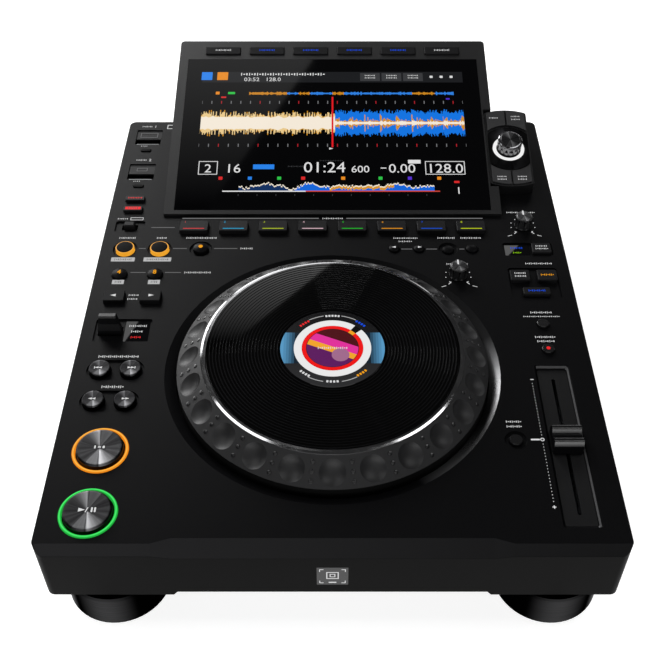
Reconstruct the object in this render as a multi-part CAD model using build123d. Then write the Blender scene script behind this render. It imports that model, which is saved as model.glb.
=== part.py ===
"""A tabletop media player for disc jockeys: jog wheel, tilted touch screen, tempo fader and keys.

Millimetres. X to the right, Y to the back, Z up. The origin is on the table, under the middle of
the whole object's outline. Every piece is written to parts/ as its own STEP file.
"""
from build123d import *
from math import asin, atan2, cos, radians, sin, tan
import os

# ---------------------------------------------------------------- driving dimensions
# Body
WIDTH = 329.0                 # across the side walls
PANEL_TOP = 79.0              # table to the top face of the panel
BODY_HEIGHT = 47.8            # top face down to the lower edge of the side walls
FRONT_Y = -227.5              # front face
DEPTH = 405.2                 # front face to the rear edge of the top panel
REAR_Y = FRONT_Y + DEPTH
LEFT_SIDE = -WIDTH / 2
RIGHT_SIDE = WIDTH / 2
PANEL_WALL = 3.0              # thickness of the moulded top
SIDE_WALL = 2.6               # thickness of the moulded sides and front
CORNER_RADIUS = 5.0           # plan corners of the body
CUP_WALL = 3.5                # wall of the jog wheel's well
BOSS_RADIUS = 3.0             # screw posts between cover and pan
BOSS_FROM_SIDE = 7.2
BOSS_X = RIGHT_SIDE - BOSS_FROM_SIDE
BOSS_FROM_FRONT = (8.5, 233.5, 358.5)
BOSS_Y = [FRONT_Y + y for y in BOSS_FROM_FRONT]
FRONT_CHAMFER = (3.3, 8.2)    # back and down, along the outer thirds of the front edge
SCOOP_CHAMFER = (6.8, 10.2)   # back and down, along the middle of the front edge
SCOOP_FROM_SIDE = 75.7        # the scooped middle ends this far from each side
SCOOP_HALF = RIGHT_SIDE - SCOOP_FROM_SIDE
SCOOP_RAMP = 10.9             # length of the change from scoop to outer chamfer
ARCH_RISE = 3.1               # how far the underside rises between the feet
BODY_BOTTOM = PANEL_TOP - BODY_HEIGHT
PANEL_UNDER = PANEL_TOP - PANEL_WALL

# Clearances
SLIDE_GAP = 0.3               # a key in its hole, all round
SEAT_GAP = 0.2                # a key's flange under the panel
FIT_GAP = 0.05                # a shaft in its bearing, on the radius
DROP_IN = 0.15                # a fixed insert in its pocket, all round

# Base pan and rear wall
SHEET = 1.6                   # folded steel
REAR_INSET = 3.0              # rear wall in from the panel's rear edge
POST_RADIUS = 3.5             # posts under the main board

# Feet
FOOT_RADIUS = 31.5
FOOT_HEIGHT = 26.4            # table to the foot's top face
FOOT_FROM_SIDE = 34.5
FOOT_X = RIGHT_SIDE - FOOT_FROM_SIDE
FRONT_FOOT_FROM_FRONT = 30.0
FRONT_FOOT_Y = FRONT_Y + FRONT_FOOT_FROM_FRONT
REAR_FOOT_FROM_FRONT = 370.7
REAR_FOOT_Y = FRONT_Y + REAR_FOOT_FROM_FRONT
FOOT_NECK_RADIUS = 20.0
PAD_RADIUS = 27.0
PAD_THICKNESS = 2.0
PAD_PROUD = 0.6

# Jog wheel
JOG_FROM_FRONT = 134.7
JOG_Y = FRONT_Y + JOG_FROM_FRONT
WHEEL_RADIUS = 98.0
WHEEL_PROUD = 3.0             # outer edge of the wheel above the panel
FLANK_TOP_RADIUS = 82.2       # where the sloping flank meets the trim ring
FLANK_TOP_PROUD = 14.6
FLANK_WALL = 5.0
DECK_WALL = 2.4
WELL_BEVEL_RADIUS = 106.0
WELL_BEVEL_DEPTH = 4.0
WELL_GAP = 1.0                # wheel to the wall of its well
WELL_DEPTH = 10.0
WELL_FLOOR = 2.5
WHEEL_FLOOR_GAP = 1.2
DIMPLES = 24
DIMPLE_RADIUS = 8.0
DIMPLE_DEPTH = 2.9
TRIM_WIDTH = 3.3              # bright ring between flank and platter
TRIM_HEIGHT = 1.3
PLATTER_THICKNESS = 1.6
PLATTER_PROUD = 17.0          # platter's top above the panel
PLATTER_GAP = 0.35
PLATTER_TRAVEL = 0.4
DISPLAY_DISC_RADIUS = 33.0
DISPLAY_DISC_PROUD = 16.8
DISPLAY_DISC_THICKNESS = 5.8
SPINDLE_RADIUS = 16.0
SPINDLE_FLANGE_RADIUS = 28.0
SPINDLE_FLANGE = 2.0
BEARING_OUTER_RADIUS = 22.0
BEARING_HEIGHT = 7.0
HUB_WALL = 3.6

# Screen unit
SCREEN_TILT = 13.5            # degrees
SCREEN_FROM_FRONT = 284.1
SCREEN_FRONT_Y = FRONT_Y + SCREEN_FROM_FRONT
SCREEN_LIP = 2.1              # height of the front edge above the panel
SCREEN_FROM_SIDE = 40.5
SCREEN_HALF_WIDTH = RIGHT_SIDE - SCREEN_FROM_SIDE
SCREEN_REAR_DEPTH = 14.0      # height of the rear face
SCREEN_WALL = 2.6
SCREEN_REAR_FOOT = 2.0        # rear skirt in from the panel's rear edge
SCREEN_FACE = 4.0             # thickness of the frame under the glass
GLASS_MARGIN = 7.5            # frame left and right of the glass
GLASS_HALF_WIDTH = SCREEN_HALF_WIDTH - GLASS_MARGIN
GLASS_START = 3.7             # along the slope, from the front edge
GLASS_LENGTH = 153.3
GLASS_THICKNESS = 2.0
LCD_MARGIN = (10.5, 8.3, 10.0)   # glass beyond the panel: sides, front, rear
LCD_WIDTH = 2 * (GLASS_HALF_WIDTH - LCD_MARGIN[0])
LCD_START = GLASS_START + LCD_MARGIN[1]
LCD_LENGTH = GLASS_LENGTH - LCD_MARGIN[1] - LCD_MARGIN[2]
LCD_THICKNESS = 3.0
MENU_KEYS = 6
MENU_PITCH = 35.56
MENU_KEY = (28.0, 8.0)
MENU_KEY_MARGINS = (5.1, 7.6)    # frame between glass and keys, and behind the keys
MENU_KEY_START = GLASS_START + GLASS_LENGTH + MENU_KEY_MARGINS[0]
MENU_KEY_PROUD = 1.0
SCREEN_LENGTH = MENU_KEY_START + MENU_KEY[1] + MENU_KEY_MARGINS[1]   # along the slope

# Selector pod beside the screen
POD_FROM_SIDE = 29.9
POD_X = RIGHT_SIDE - POD_FROM_SIDE
POD_HALF_WIDTH = 16.4
POD_FROM_FRONT = 309.7
POD_FRONT_Y = FRONT_Y + POD_FROM_FRONT
POD_LENGTH = 75.9             # along its slope
POD_FRONT_HEIGHT = 7.7        # top edge above the panel at the front
POD_BULGE = 3.0               # rise of the curved ends
SELECTOR_FROM_FRONT = 36.9    # along the slope
SELECTOR_KEY_RADIUS = 22.6    # inner edge of the four pod keys
KNOB_RADIUS = 8.3
KNOB_HEIGHT = 10.5
SHAFT_RADIUS = 3.0
LIGHT_RING_WIDTH = 2.0
SELECTOR_RING = (9.4, 12.0)   # inner and outer radius
SELECTOR_RING_DEPTH = 0.8
SELECTOR_TRAVEL = 0.8
POD_FACE = 3.0                # thickness of the face round the keys
POD_WALL = 1.4
POD_KEY_PROUD = 1.2
POD_KEY_MARGIN = 1.6
POD_KEY_GAP = 1.4

# Keys and buttons
KEY_PROUD = 3.2
KEY_CORNER = 1.2
KEY_EDGE = 0.4
FLANGE = 1.2                  # ledge that stops a key from coming out
FLANGE_THICKNESS = 1.2
RECESS = 1.2                  # shallow panels and dishes round the keys
RECESS_CORNER = 2.0

LEFT_FROM_SIDE = 17.3  # first column of the left side
LEFT_X = LEFT_SIDE + LEFT_FROM_SIDE
SECOND_FROM_LEFT_COLUMN = 24.5
SECOND_X = LEFT_X + SECOND_FROM_LEFT_COLUMN
PAIR_FROM_LEFT_COLUMN = 10.1  # middle of the paired controls
PAIR_X = LEFT_X + PAIR_FROM_LEFT_COLUMN
HOT_CUES = 8
HOT_CUE_PITCH = 28.6
HOT_CUE_FROM_FRONT = 269.8
HOT_CUE_Y = FRONT_Y + HOT_CUE_FROM_FRONT
HOT_CUE_KEY = (20.6, 11.4)
SLIM_KEY = (14.2, 5.4)
QUANTIZE_FROM_FRONT = 303.1
QUANTIZE_Y = FRONT_Y + QUANTIZE_FROM_FRONT
SLIP_FROM_FRONT = 290.9
SLIP_Y = FRONT_Y + SLIP_FROM_FRONT
USB_FROM_FRONT = (383.9, 338.2)
USB_Y = [FRONT_Y + y for y in USB_FROM_FRONT]
USB_RECESS = (20.2, 19.8)
USB_RECESS_DEPTH = 5.0
POCKET_WALL = 2.0
USB_STOP_KEY = (8.0, 3.4)
USB_STOP_OFFSET = -18.3
SOCKET_SHELLS = ((14.6, 7.0), (9.4, 4.4))
SHELL_HEIGHT = 14.0
SHELL_WALL = 0.7
TONGUE_INSET = 1.7
FLAP_LENGTH = 10.6
FLAP_THICKNESS = 1.6
FLAP_PIN_RADIUS = 0.9
LOOP_FROM_FRONT = 247.5
LOOP_Y = FRONT_Y + LOOP_FROM_FRONT
LOOP_RECESS_RADIUS = 8.65
LOOP_RADIUS = 6.6
LOOP_PROUD = 1.9
RELOOP_FROM_SECOND_COLUMN = 29.3
RELOOP_X = SECOND_X + RELOOP_FROM_SECOND_COLUMN
RELOOP_RECESS_RADIUS = 8.1
SMALL_ROUND_RADIUS = 5.4
BEAT_LOOP_FROM_FRONT = 220.3
BEAT_LOOP_Y = FRONT_Y + BEAT_LOOP_FROM_FRONT
BEAT_JUMP_FROM_FRONT = 196.6
BEAT_JUMP_Y = FRONT_Y + BEAT_JUMP_FROM_FRONT
BEAT_JUMP_KEY = (14.0, 10.4)
DIRECTION_FROM_FRONT = 166.6
DIRECTION_Y = FRONT_Y + DIRECTION_FROM_FRONT
DIRECTION_FROM_LEFT_COLUMN = 9.7
DIRECTION_X = LEFT_X + DIRECTION_FROM_LEFT_COLUMN
DIRECTION_RECESS = (37.0, 20.7)
LEVER_FROM_LEFT_COLUMN = 1.6
LEVER_X = LEFT_X + LEVER_FROM_LEFT_COLUMN
LEVER_WIDTH = 15.4
LEVER_TOP_WIDTH = 10.8
LEVER_THICKNESS = 4.4
LEVER_PROUD = 14.0
LEVER_PIVOT_DEPTH = 9.0       # pivot under the panel's top
LEVER_SWING = 10.0            # degrees each way
LEVER_PIN_RADIUS = 1.6
LEVER_PLAY = 0.4              # spare length of the slots that the levers swing in
EAR_THICKNESS = 3.0
EAR_DEPTH = 8.0
DIRECTION_WINDOW_FROM_LEFT_COLUMN = 18.9
DIRECTION_WINDOW_X = LEFT_X + DIRECTION_WINDOW_FROM_LEFT_COLUMN
DIRECTION_WINDOW = (16.0, 18.4)
MODE_LEVER_FROM_FRONT = 272.4
MODE_LEVER_Y = FRONT_Y + MODE_LEVER_FROM_FRONT
MODE_LEVER_RECESS = (21.3, 12.4)
MODE_LEVER = (7.6, 5.4)
MODE_LEVER_PROUD = 3.0
MODE_LEVER_SWING = 9.0
TRACK_FROM_FRONT = 131.3
TRACK_Y = FRONT_Y + TRACK_FROM_FRONT
SEARCH_FROM_FRONT = 105.5
SEARCH_Y = FRONT_Y + SEARCH_FROM_FRONT
STADIUM = (36.6, 17.2)
STADIUM_PITCH = 19.5
STADIUM_CAP_RADIUS = 6.9
CUE_FROM_FRONT = 67.3
CUE_Y = FRONT_Y + CUE_FROM_FRONT
PLAY_FROM_FRONT = 23.2
PLAY_Y = FRONT_Y + PLAY_FROM_FRONT
BIG_FROM_LEFT_COLUMN = 10.6
BIG_X = LEFT_X + BIG_FROM_LEFT_COLUMN
BIG_CAP_RADIUS = 13.8
BIG_RING_RADIUS = 16.7
RIGHT_FROM_SIDE = 25.9  # middle of the right column
RIGHT_X = RIGHT_SIDE - RIGHT_FROM_SIDE
CALL_FROM_RIGHT_COLUMN = (94.7, 77.2)
CALL_X = [RIGHT_X - x for x in CALL_FROM_RIGHT_COLUMN]
MEMORY_ROW_FROM_FRONT = 247.4
MEMORY_ROW_Y = FRONT_Y + MEMORY_ROW_FROM_FRONT
CALL_RADIUS = 3.9
DELETE_FROM_RIGHT_COLUMN = 56.5
DELETE_X = RIGHT_X - DELETE_FROM_RIGHT_COLUMN
DELETE_RECESS_RADIUS = 6.9
DELETE_RADIUS = 4.2
MEMORY_FROM_RIGHT_COLUMN = 39.6
MEMORY_X = RIGHT_X - MEMORY_FROM_RIGHT_COLUMN
MEMORY_RADIUS = 4.4
TURN_KNOB_RADIUS = 6.2
TURN_KNOB_HEIGHT = 9.0
TURN_KNOB_RISE = 0.6          # under a turning knob's skirt
JOG_ADJUST_IN = (51.8, 219.5)    # from the right column, from the front face
JOG_ADJUST = (RIGHT_X - JOG_ADJUST_IN[0], FRONT_Y + JOG_ADJUST_IN[1])
VINYL_SPEED_IN = (0.3, 272.9)
VINYL_SPEED = (RIGHT_X - VINYL_SPEED_IN[0], FRONT_Y + VINYL_SPEED_IN[1])
JOG_MODE_FROM_FRONT = 247.3
JOG_MODE_Y = FRONT_Y + JOG_MODE_FROM_FRONT
JOG_MODE_RECESS = (35.0, 13.6)
JOG_MODE_KEY_FROM_RIGHT_COLUMN = 9.5
JOG_MODE_KEY_X = RIGHT_X + JOG_MODE_KEY_FROM_RIGHT_COLUMN
JOG_MODE_KEY = (13.4, 10.4)
JOG_MODE_WINDOW_FROM_RIGHT_COLUMN = 7.4
JOG_MODE_WINDOW_X = RIGHT_X - JOG_MODE_WINDOW_FROM_RIGHT_COLUMN
JOG_MODE_WINDOW = (17.6, 11.4)
SYNC_FROM_FRONT = 212.2
SYNC_Y = FRONT_Y + SYNC_FROM_FRONT
SYNC_RECESS = (34.0, 30.2)
SYNC_KEY_FROM_FRONT = 218.3
SYNC_KEY_Y = FRONT_Y + SYNC_KEY_FROM_FRONT
SYNC_KEY_SPACING = 18.7
SYNC_KEY = (13.4, 10.7)
KEY_SYNC_FROM_FRONT = 202.4
KEY_SYNC_Y = FRONT_Y + KEY_SYNC_FROM_FRONT
KEY_SYNC_KEY = (18.3, 7.0)
TEMPO_RANGE_FROM_FRONT = 171.7
TEMPO_RANGE_Y = FRONT_Y + TEMPO_RANGE_FROM_FRONT
MASTER_TEMPO_FROM_FRONT = 148.6
MASTER_TEMPO_Y = FRONT_Y + MASTER_TEMPO_FROM_FRONT
TEMPO_BUTTON_RADIUS = 4.0
TEMPO_RESET_FROM_RIGHT_COLUMN = 29.7
TEMPO_RESET_X = RIGHT_X - TEMPO_RESET_FROM_RIGHT_COLUMN
TEMPO_RESET_FROM_FRONT = 74.9
TEMPO_RESET_Y = FRONT_Y + TEMPO_RESET_FROM_FRONT
TEMPO_RESET_RECESS_RADIUS = 6.8

# Tempo fader
FADER_FROM_FRONT = 74.4
FADER_Y = FRONT_Y + FADER_FROM_FRONT
FADER_RECESS = (22.0, 122.2)
FADER_RECESS_DEPTH = 2.2
FADER_PLATE = (18.4, 117.0)
FADER_PLATE_THICKNESS = 1.0
FADER_TRAVEL = 48.0           # each way
FADER_SLOT_WIDTH = 2.2
FADER_KNOB = (17.4, 17.0)
FADER_KNOB_HEIGHT = 9.0
FADER_KNOB_ROUNDING = 1.2
FADER_BLADE = (1.4, 5.2)
FADER_BODY = (12.0, 9.0)      # width and height
FADER_SHELL = 1.2
FADER_KNOB_RISE = 0.6
FADER_BOSS_DEPTH = 5.0        # underside of the moulding round the fader, below the panel's top

# Front touch window and rear sockets
TOUCH_WINDOW = 17.8
TOUCH_WINDOW_Z = 51.0
WINDOW_THICKNESS = 1.1
SOCKET_Z = 56.0
INLET_FROM_SIDE = 46.5
INLET_X = LEFT_SIDE + INLET_FROM_SIDE
SWITCH_FROM_INLET = 34.0
SWITCH_X = INLET_X + SWITCH_FROM_INLET
NETWORK_FROM_SIDE = 144.5
NETWORK_X = RIGHT_SIDE - NETWORK_FROM_SIDE
AUDIO_FROM_SIDE = (68.5, 50.5)
AUDIO_X = [RIGHT_SIDE - x for x in AUDIO_FROM_SIDE]
DIGITAL_FROM_SIDE = 102.5
DIGITAL_X = RIGHT_SIDE - DIGITAL_FROM_SIDE
JACK_RADIUS = 4.15
JACK_LENGTH = 9.0             # outward from the rear wall
JACK_NUT = (5.8, 1.2)         # radius and thickness
JACK_BORE = 1.6
JACK_BLOCK = 13.0
INLET = (30.0, 22.5)
NETWORK = (15.6, 16.4)
SWITCH = (14.0, 10.0)
SWITCH_TRAVEL = 1.5
SOCKET_DEPTH = 18.0           # how far the sockets reach inside

# Inner parts
BOARD_MARGIN = 8.8            # the board's ends in from those of the raised underside
BOARD_SIZE = (2 * (SCOOP_HALF - BOARD_MARGIN), 96.0)
BOARD_THICKNESS = 1.6
BOARD_X = 5.0
POST_INSET = 6.0
SINK = (34.0, 3.0)            # base of the heat sink: side and thickness
SINK_FINS = 7
FIN = (1.4, 9.0)              # thickness and height
FIN_PITCH = 4.6
CONNECTOR = (8.0, 32.0, 6.0)
CONNECTOR_X = 60.0
CONNECTOR_Y = 20.0
BOARD_FROM_FRONT = 277.5
BOARD_Y = FRONT_Y + BOARD_FROM_FRONT
BOARD_RAISE = 6.0             # above the pan
SUPPLY_SIZE = (64.0, 110.0)
SUPPLY_FROM_SIDE = 52.5
SUPPLY_X = LEFT_SIDE + SUPPLY_FROM_SIDE
SUPPLY_BASE = 2.0
TRANSFORMER = (30.0, 28.0, 21.0)
CAPACITOR = (8.0, 19.0)       # radius and height
CAPACITOR_X = 12.0            # each side of the supply's middle
CAPACITOR_Y = 25.0
TRANSFORMER_Y = -20.0
SUPPLY_FOOT = 6.0
SUPPLY_FROM_FRONT = 317.5
SUPPLY_Y = FRONT_Y + SUPPLY_FROM_FRONT


# ---------------------------------------------------------------- shared shapes
def slab(size, corner, z_low, z_high, x=0.0, y=0.0):
    """A flat plate with rounded plan corners."""
    outline = Pos(x, y, z_low) * RectangleRounded(size[0], size[1], corner)
    return extrude(outline, z_high - z_low)


def disc(radius, z_low, z_high, x=0.0, y=0.0):
    """A short upright cylinder."""
    return Pos(x, y, (z_low + z_high) / 2) * Cylinder(radius, z_high - z_low)


def grown(size, margin):
    """A width and depth with the same margin added all round."""
    return (size[0] + 2 * margin, size[1] + 2 * margin)


def top_edges(part, z):
    """The edges that lie in the plane at height z."""
    return part.edges().filter_by_position(Axis.Z, z - 0.01, z + 0.01)


def key(size, x, y, proud=KEY_PROUD, floor=PANEL_TOP):
    """A rectangular key cap, with the ledge beneath the panel that keeps it in."""
    ledge_top = PANEL_UNDER - SEAT_GAP
    cap = slab(size, KEY_CORNER, ledge_top - FLANGE_THICKNESS, floor + proud, x, y)
    cap = chamfer(top_edges(cap, floor + proud), KEY_EDGE)
    ledge = slab(grown(size, FLANGE), KEY_CORNER, ledge_top - FLANGE_THICKNESS, ledge_top, x, y)
    return cap + ledge


def key_hole(size, x, y):
    """The opening that a rectangular key slides in."""
    return slab(grown(size, SLIDE_GAP), KEY_CORNER + SLIDE_GAP, PANEL_UNDER - 1, PANEL_TOP + 1, x, y)


def button(radius, x, y, proud, dome=0.0):
    """A round button, domed or flat, with the ledge that keeps it in."""
    ledge_top = PANEL_UNDER - SEAT_GAP
    low = ledge_top - FLANGE_THICKNESS
    top = PANEL_TOP + proud
    face_radius = radius - KEY_EDGE
    side = Polyline((0, low), (radius + FLANGE, low), (radius + FLANGE, ledge_top), (radius, ledge_top),
                    (radius, top - dome - KEY_EDGE), (face_radius, top - dome))
    if dome:
        ball = (face_radius ** 2 + dome ** 2) / (2 * dome)
        half_turn = asin(face_radius / ball) / 2
        middle = (ball * sin(half_turn), top - ball + ball * cos(half_turn))
        crown = ThreePointArc(side @ 1, middle, (0, top))
    else:
        crown = Line(side @ 1, (0, top))
    section = make_face([side, crown, Line(crown @ 1, side @ 0)])
    return Pos(x, y, 0) * revolve(Plane.XZ * section, Axis.Z)


def button_hole(radius, x, y):
    """The opening that a round button slides in."""
    return disc(radius + SLIDE_GAP, PANEL_UNDER - 1, PANEL_TOP + 1, x, y)


def dish(radius, x, y):
    """A shallow round recess with sloping sides."""
    rim = disc(radius, PANEL_TOP - RECESS, PANEL_TOP + 1, x, y)
    return chamfer(top_edges(rim, PANEL_TOP - RECESS), RECESS * 0.6)


def turned(points, x=0.0, y=0.0):
    """A turned piece from its half section of radius and height."""
    section = make_face(Polyline(*points, close=True))
    return Pos(x, y, 0) * revolve(Plane.XZ * section, Axis.Z)


# ---------------------------------------------------------------- places that several pieces share
WELL_RADIUS = WHEEL_RADIUS + WELL_GAP
WELL_BOTTOM = PANEL_TOP - WELL_DEPTH
SCREEN_PLANE = Plane(
    origin=(0, SCREEN_FRONT_Y, PANEL_TOP + SCREEN_LIP),
    x_dir=(1, 0, 0),
    z_dir=(0, -sin(radians(SCREEN_TILT)), cos(radians(SCREEN_TILT))),
)
POD_PLANE = Plane(
    origin=(POD_X, POD_FRONT_Y, PANEL_TOP + POD_FRONT_HEIGHT),
    x_dir=(1, 0, 0),
    z_dir=(0, -sin(radians(SCREEN_TILT)), cos(radians(SCREEN_TILT))),
)
SLOPE_Y = cos(radians(SCREEN_TILT))
SLOPE_Z = sin(radians(SCREEN_TILT))
SCREEN_REAR_Y = SCREEN_FRONT_Y + SCREEN_LENGTH * SLOPE_Y
SCREEN_REAR_Z = PANEL_TOP + SCREEN_LIP + SCREEN_LENGTH * SLOPE_Z
POD_REAR_Y = POD_FRONT_Y + POD_LENGTH * SLOPE_Y
POD_REAR_HEIGHT = POD_FRONT_HEIGHT + POD_LENGTH * SLOPE_Z
FADER_PLATE_TOP = PANEL_TOP - FADER_RECESS_DEPTH
REAR_WALL_Y = REAR_Y - REAR_INSET
LEVER_PIVOT_Z = PANEL_TOP - LEVER_PIVOT_DEPTH
HOT_CUE_X = [HOT_CUE_PITCH * (i - (HOT_CUES - 1) / 2) for i in range(HOT_CUES)]
MENU_X = [MENU_PITCH * (i - (MENU_KEYS - 1) / 2) for i in range(MENU_KEYS)]
STADIUM_X = (PAIR_X - STADIUM_PITCH / 2, PAIR_X + STADIUM_PITCH / 2)
FEET = [(side * FOOT_X, y) for side in (-1, 1) for y in (FRONT_FOOT_Y, REAR_FOOT_Y)]
BOSSES = [(side * BOSS_X, y) for side in (-1, 1) for y in BOSS_Y]
BOARD_Z = BODY_BOTTOM + ARCH_RISE + SHEET + BOARD_RAISE
BOARD_POSTS = [
    (BOARD_X + i * (BOARD_SIZE[0] / 2 - POST_INSET), BOARD_Y + j * (BOARD_SIZE[1] / 2 - POST_INSET))
    for i in (-1, 1) for j in (-1, 1)
]
FLANK_TOP_Z = PANEL_TOP + FLANK_TOP_PROUD
WHEEL_EDGE_Z = PANEL_TOP + WHEEL_PROUD
WHEEL_BOTTOM = WELL_BOTTOM + WHEEL_FLOOR_GAP
PLATTER_TOP = PANEL_TOP + PLATTER_PROUD
TRIM_INNER_RADIUS = FLANK_TOP_RADIUS - TRIM_WIDTH
DECK_STEP_RADIUS = DISPLAY_DISC_RADIUS + 3.5
DISC_BOTTOM = PANEL_TOP + DISPLAY_DISC_PROUD - DISPLAY_DISC_THICKNESS
HUB_TOP = DISC_BOTTOM - 2.0
BEARING_BOTTOM = WELL_BOTTOM + SPINDLE_FLANGE + 1.5
HUB_RADIUS = BEARING_OUTER_RADIUS + FIT_GAP
SYNC_X = (RIGHT_X - SYNC_KEY_SPACING / 2, RIGHT_X + SYNC_KEY_SPACING / 2)


# ---------------------------------------------------------------- body
def chamfer_section(cut):
    """The triangle that a chamfer takes off the front edge, in Y and Z."""
    back, down = cut
    return make_face(Polyline(
        (FRONT_Y - 1, PANEL_TOP + 1),
        (FRONT_Y - 1, PANEL_TOP - down - down / back),
        (FRONT_Y + back + back / down, PANEL_TOP + 1),
        close=True,
    ))


def front_cuts():
    """The chamfer along the front edge, deeper in the middle than at its ends."""
    section = Plane.YZ
    outer = extrude(section * chamfer_section(FRONT_CHAMFER), WIDTH / 2 + 1, both=True)
    middle = extrude(section * chamfer_section(SCOOP_CHAMFER), SCOOP_HALF, both=True)
    cuts = [outer, middle]
    for side in (-1, 1):
        deep = Plane.YZ.offset(side * SCOOP_HALF) * chamfer_section(SCOOP_CHAMFER)
        shallow = Plane.YZ.offset(side * (SCOOP_HALF + SCOOP_RAMP)) * chamfer_section(FRONT_CHAMFER)
        cuts.append(loft([deep, shallow]))
    return cuts


def panel_openings():
    """Every hole and recess in the top face."""
    cuts = []
    for x in HOT_CUE_X:
        cuts.append(key_hole(HOT_CUE_KEY, x, HOT_CUE_Y))
    for y in (QUANTIZE_Y, SLIP_Y):
        cuts.append(key_hole(SLIM_KEY, LEFT_X, y))
    for y in USB_Y:
        cuts.append(slab(USB_RECESS, 1.0, PANEL_TOP - USB_RECESS_DEPTH, PANEL_TOP + 1, LEFT_X, y))
        cuts.append(key_hole(USB_STOP_KEY, LEFT_X, y + USB_STOP_OFFSET))
    for x in (LEFT_X, SECOND_X):
        cuts.append(dish(LOOP_RECESS_RADIUS, x, LOOP_Y))
        cuts.append(button_hole(LOOP_RADIUS, x, LOOP_Y))
        cuts.append(button_hole(SMALL_ROUND_RADIUS, x, BEAT_LOOP_Y))
        cuts.append(key_hole(BEAT_JUMP_KEY, x, BEAT_JUMP_Y))
    cuts.append(dish(RELOOP_RECESS_RADIUS, RELOOP_X, LOOP_Y))
    cuts.append(button_hole(SMALL_ROUND_RADIUS, RELOOP_X, LOOP_Y))
    for y in (TRACK_Y, SEARCH_Y):
        cuts.append(slab(STADIUM, STADIUM[1] / 2 - 0.01, PANEL_TOP - RECESS, PANEL_TOP + 1, PAIR_X, y))
        for x in STADIUM_X:
            cuts.append(button_hole(STADIUM_CAP_RADIUS, x, y))
    for y in (CUE_Y, PLAY_Y):
        cuts.append(disc(BIG_RING_RADIUS + DROP_IN, PANEL_TOP - RECESS, PANEL_TOP + 1, BIG_X, y))
        cuts.append(button_hole(BIG_CAP_RADIUS, BIG_X, y))
    for x in CALL_X:
        cuts.append(button_hole(CALL_RADIUS, x, MEMORY_ROW_Y))
    cuts.append(dish(DELETE_RECESS_RADIUS, DELETE_X, MEMORY_ROW_Y))
    cuts.append(button_hole(DELETE_RADIUS, DELETE_X, MEMORY_ROW_Y))
    cuts.append(button_hole(MEMORY_RADIUS, MEMORY_X, MEMORY_ROW_Y))
    for x, y in (JOG_ADJUST, VINYL_SPEED):
        cuts.append(disc(SHAFT_RADIUS + FIT_GAP, PANEL_UNDER - 1, PANEL_TOP + 1, x, y))
    cuts.append(slab(JOG_MODE_RECESS, RECESS_CORNER, PANEL_TOP - RECESS, PANEL_TOP + 1, RIGHT_X, JOG_MODE_Y))
    cuts.append(key_hole(JOG_MODE_KEY, JOG_MODE_KEY_X, JOG_MODE_Y))
    cuts.append(slab(SYNC_RECESS, RECESS_CORNER, PANEL_TOP - RECESS, PANEL_TOP + 1, RIGHT_X, SYNC_Y))
    for x in SYNC_X:
        cuts.append(key_hole(SYNC_KEY, x, SYNC_KEY_Y))
    cuts.append(key_hole(KEY_SYNC_KEY, RIGHT_X, KEY_SYNC_Y))
    for y in (TEMPO_RANGE_Y, MASTER_TEMPO_Y):
        cuts.append(button_hole(TEMPO_BUTTON_RADIUS, RIGHT_X, y))
    cuts.append(dish(TEMPO_RESET_RECESS_RADIUS, TEMPO_RESET_X, TEMPO_RESET_Y))
    cuts.append(button_hole(TEMPO_BUTTON_RADIUS, TEMPO_RESET_X, TEMPO_RESET_Y))
    return cuts


def arch_section(z_low, z_high):
    """The raised middle of the underside, in X and Z, between two heights."""
    half = SCOOP_HALF
    foot = half + ARCH_RISE
    return make_face(Polyline(
        (-foot, z_low), (foot, z_low), (half, z_high), (-half, z_high), close=True,
    ))


def hollow_section():
    """The space inside the panel, front to back, following the scooped front edge."""
    back, down = SCOOP_CHAMFER
    slant = (back ** 2 + down ** 2) ** 0.5
    shift_y = PANEL_WALL * down / slant
    shift_z = PANEL_WALL * back / slant
    line_z = PANEL_TOP - down - shift_z
    front = FRONT_Y + SIDE_WALL
    return make_face(Polyline(
        (front, BODY_BOTTOM - 1),
        (front, line_z + (SIDE_WALL - shift_y) * down / back),
        (FRONT_Y + shift_y + (PANEL_UNDER - line_z) * back / down, PANEL_UNDER),
        (REAR_Y + 1, PANEL_UNDER),
        (REAR_Y + 1, BODY_BOTTOM - 1),
        close=True,
    ))


def lever_slot():
    """The opening that the direction lever swings in."""
    reach = LEVER_PIVOT_DEPTH * tan(radians(LEVER_SWING))
    length = LEVER_THICKNESS + 2 * reach + 2 * SLIDE_GAP + LEVER_PLAY
    size = (LEVER_WIDTH + 2 * SLIDE_GAP, length)
    return slab(size, 0.8, PANEL_UNDER - 1, PANEL_TOP + 1, LEVER_X, DIRECTION_Y)


def mode_lever_slot():
    """The opening that the small mode lever swings in."""
    reach = LEVER_PIVOT_DEPTH * tan(radians(MODE_LEVER_SWING))
    size = (MODE_LEVER[0] + 2 * reach + 2 * SLIDE_GAP + LEVER_PLAY, MODE_LEVER[1] + 2 * SLIDE_GAP)
    return slab(size, 0.8, PANEL_UNDER - 1, PANEL_TOP + 1, LEFT_X, MODE_LEVER_Y)


def pivot_ears(x, y, along_x, spacing):
    """Two ears under the panel with holes for a lever's pins."""
    low = LEVER_PIVOT_Z - LEVER_PIN_RADIUS - 2.0
    size = (EAR_THICKNESS, EAR_DEPTH) if along_x else (EAR_DEPTH, EAR_THICKNESS)
    turn = Rot(0, 90, 0) if along_x else Rot(90, 0, 0)
    ears = []
    for side in (-1, 1):
        shift = side * (spacing / 2 + SLIDE_GAP + EAR_THICKNESS / 2)
        place = (x + shift, y) if along_x else (x, y + shift)
        ear = slab(size, 0.5, low, PANEL_UNDER + 0.5, *place)
        pin_hole = Pos(*place, LEVER_PIVOT_Z) * turn * Cylinder(LEVER_PIN_RADIUS + FIT_GAP, EAR_DEPTH)
        ears.append(ear - pin_hole)
    return ears


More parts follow.
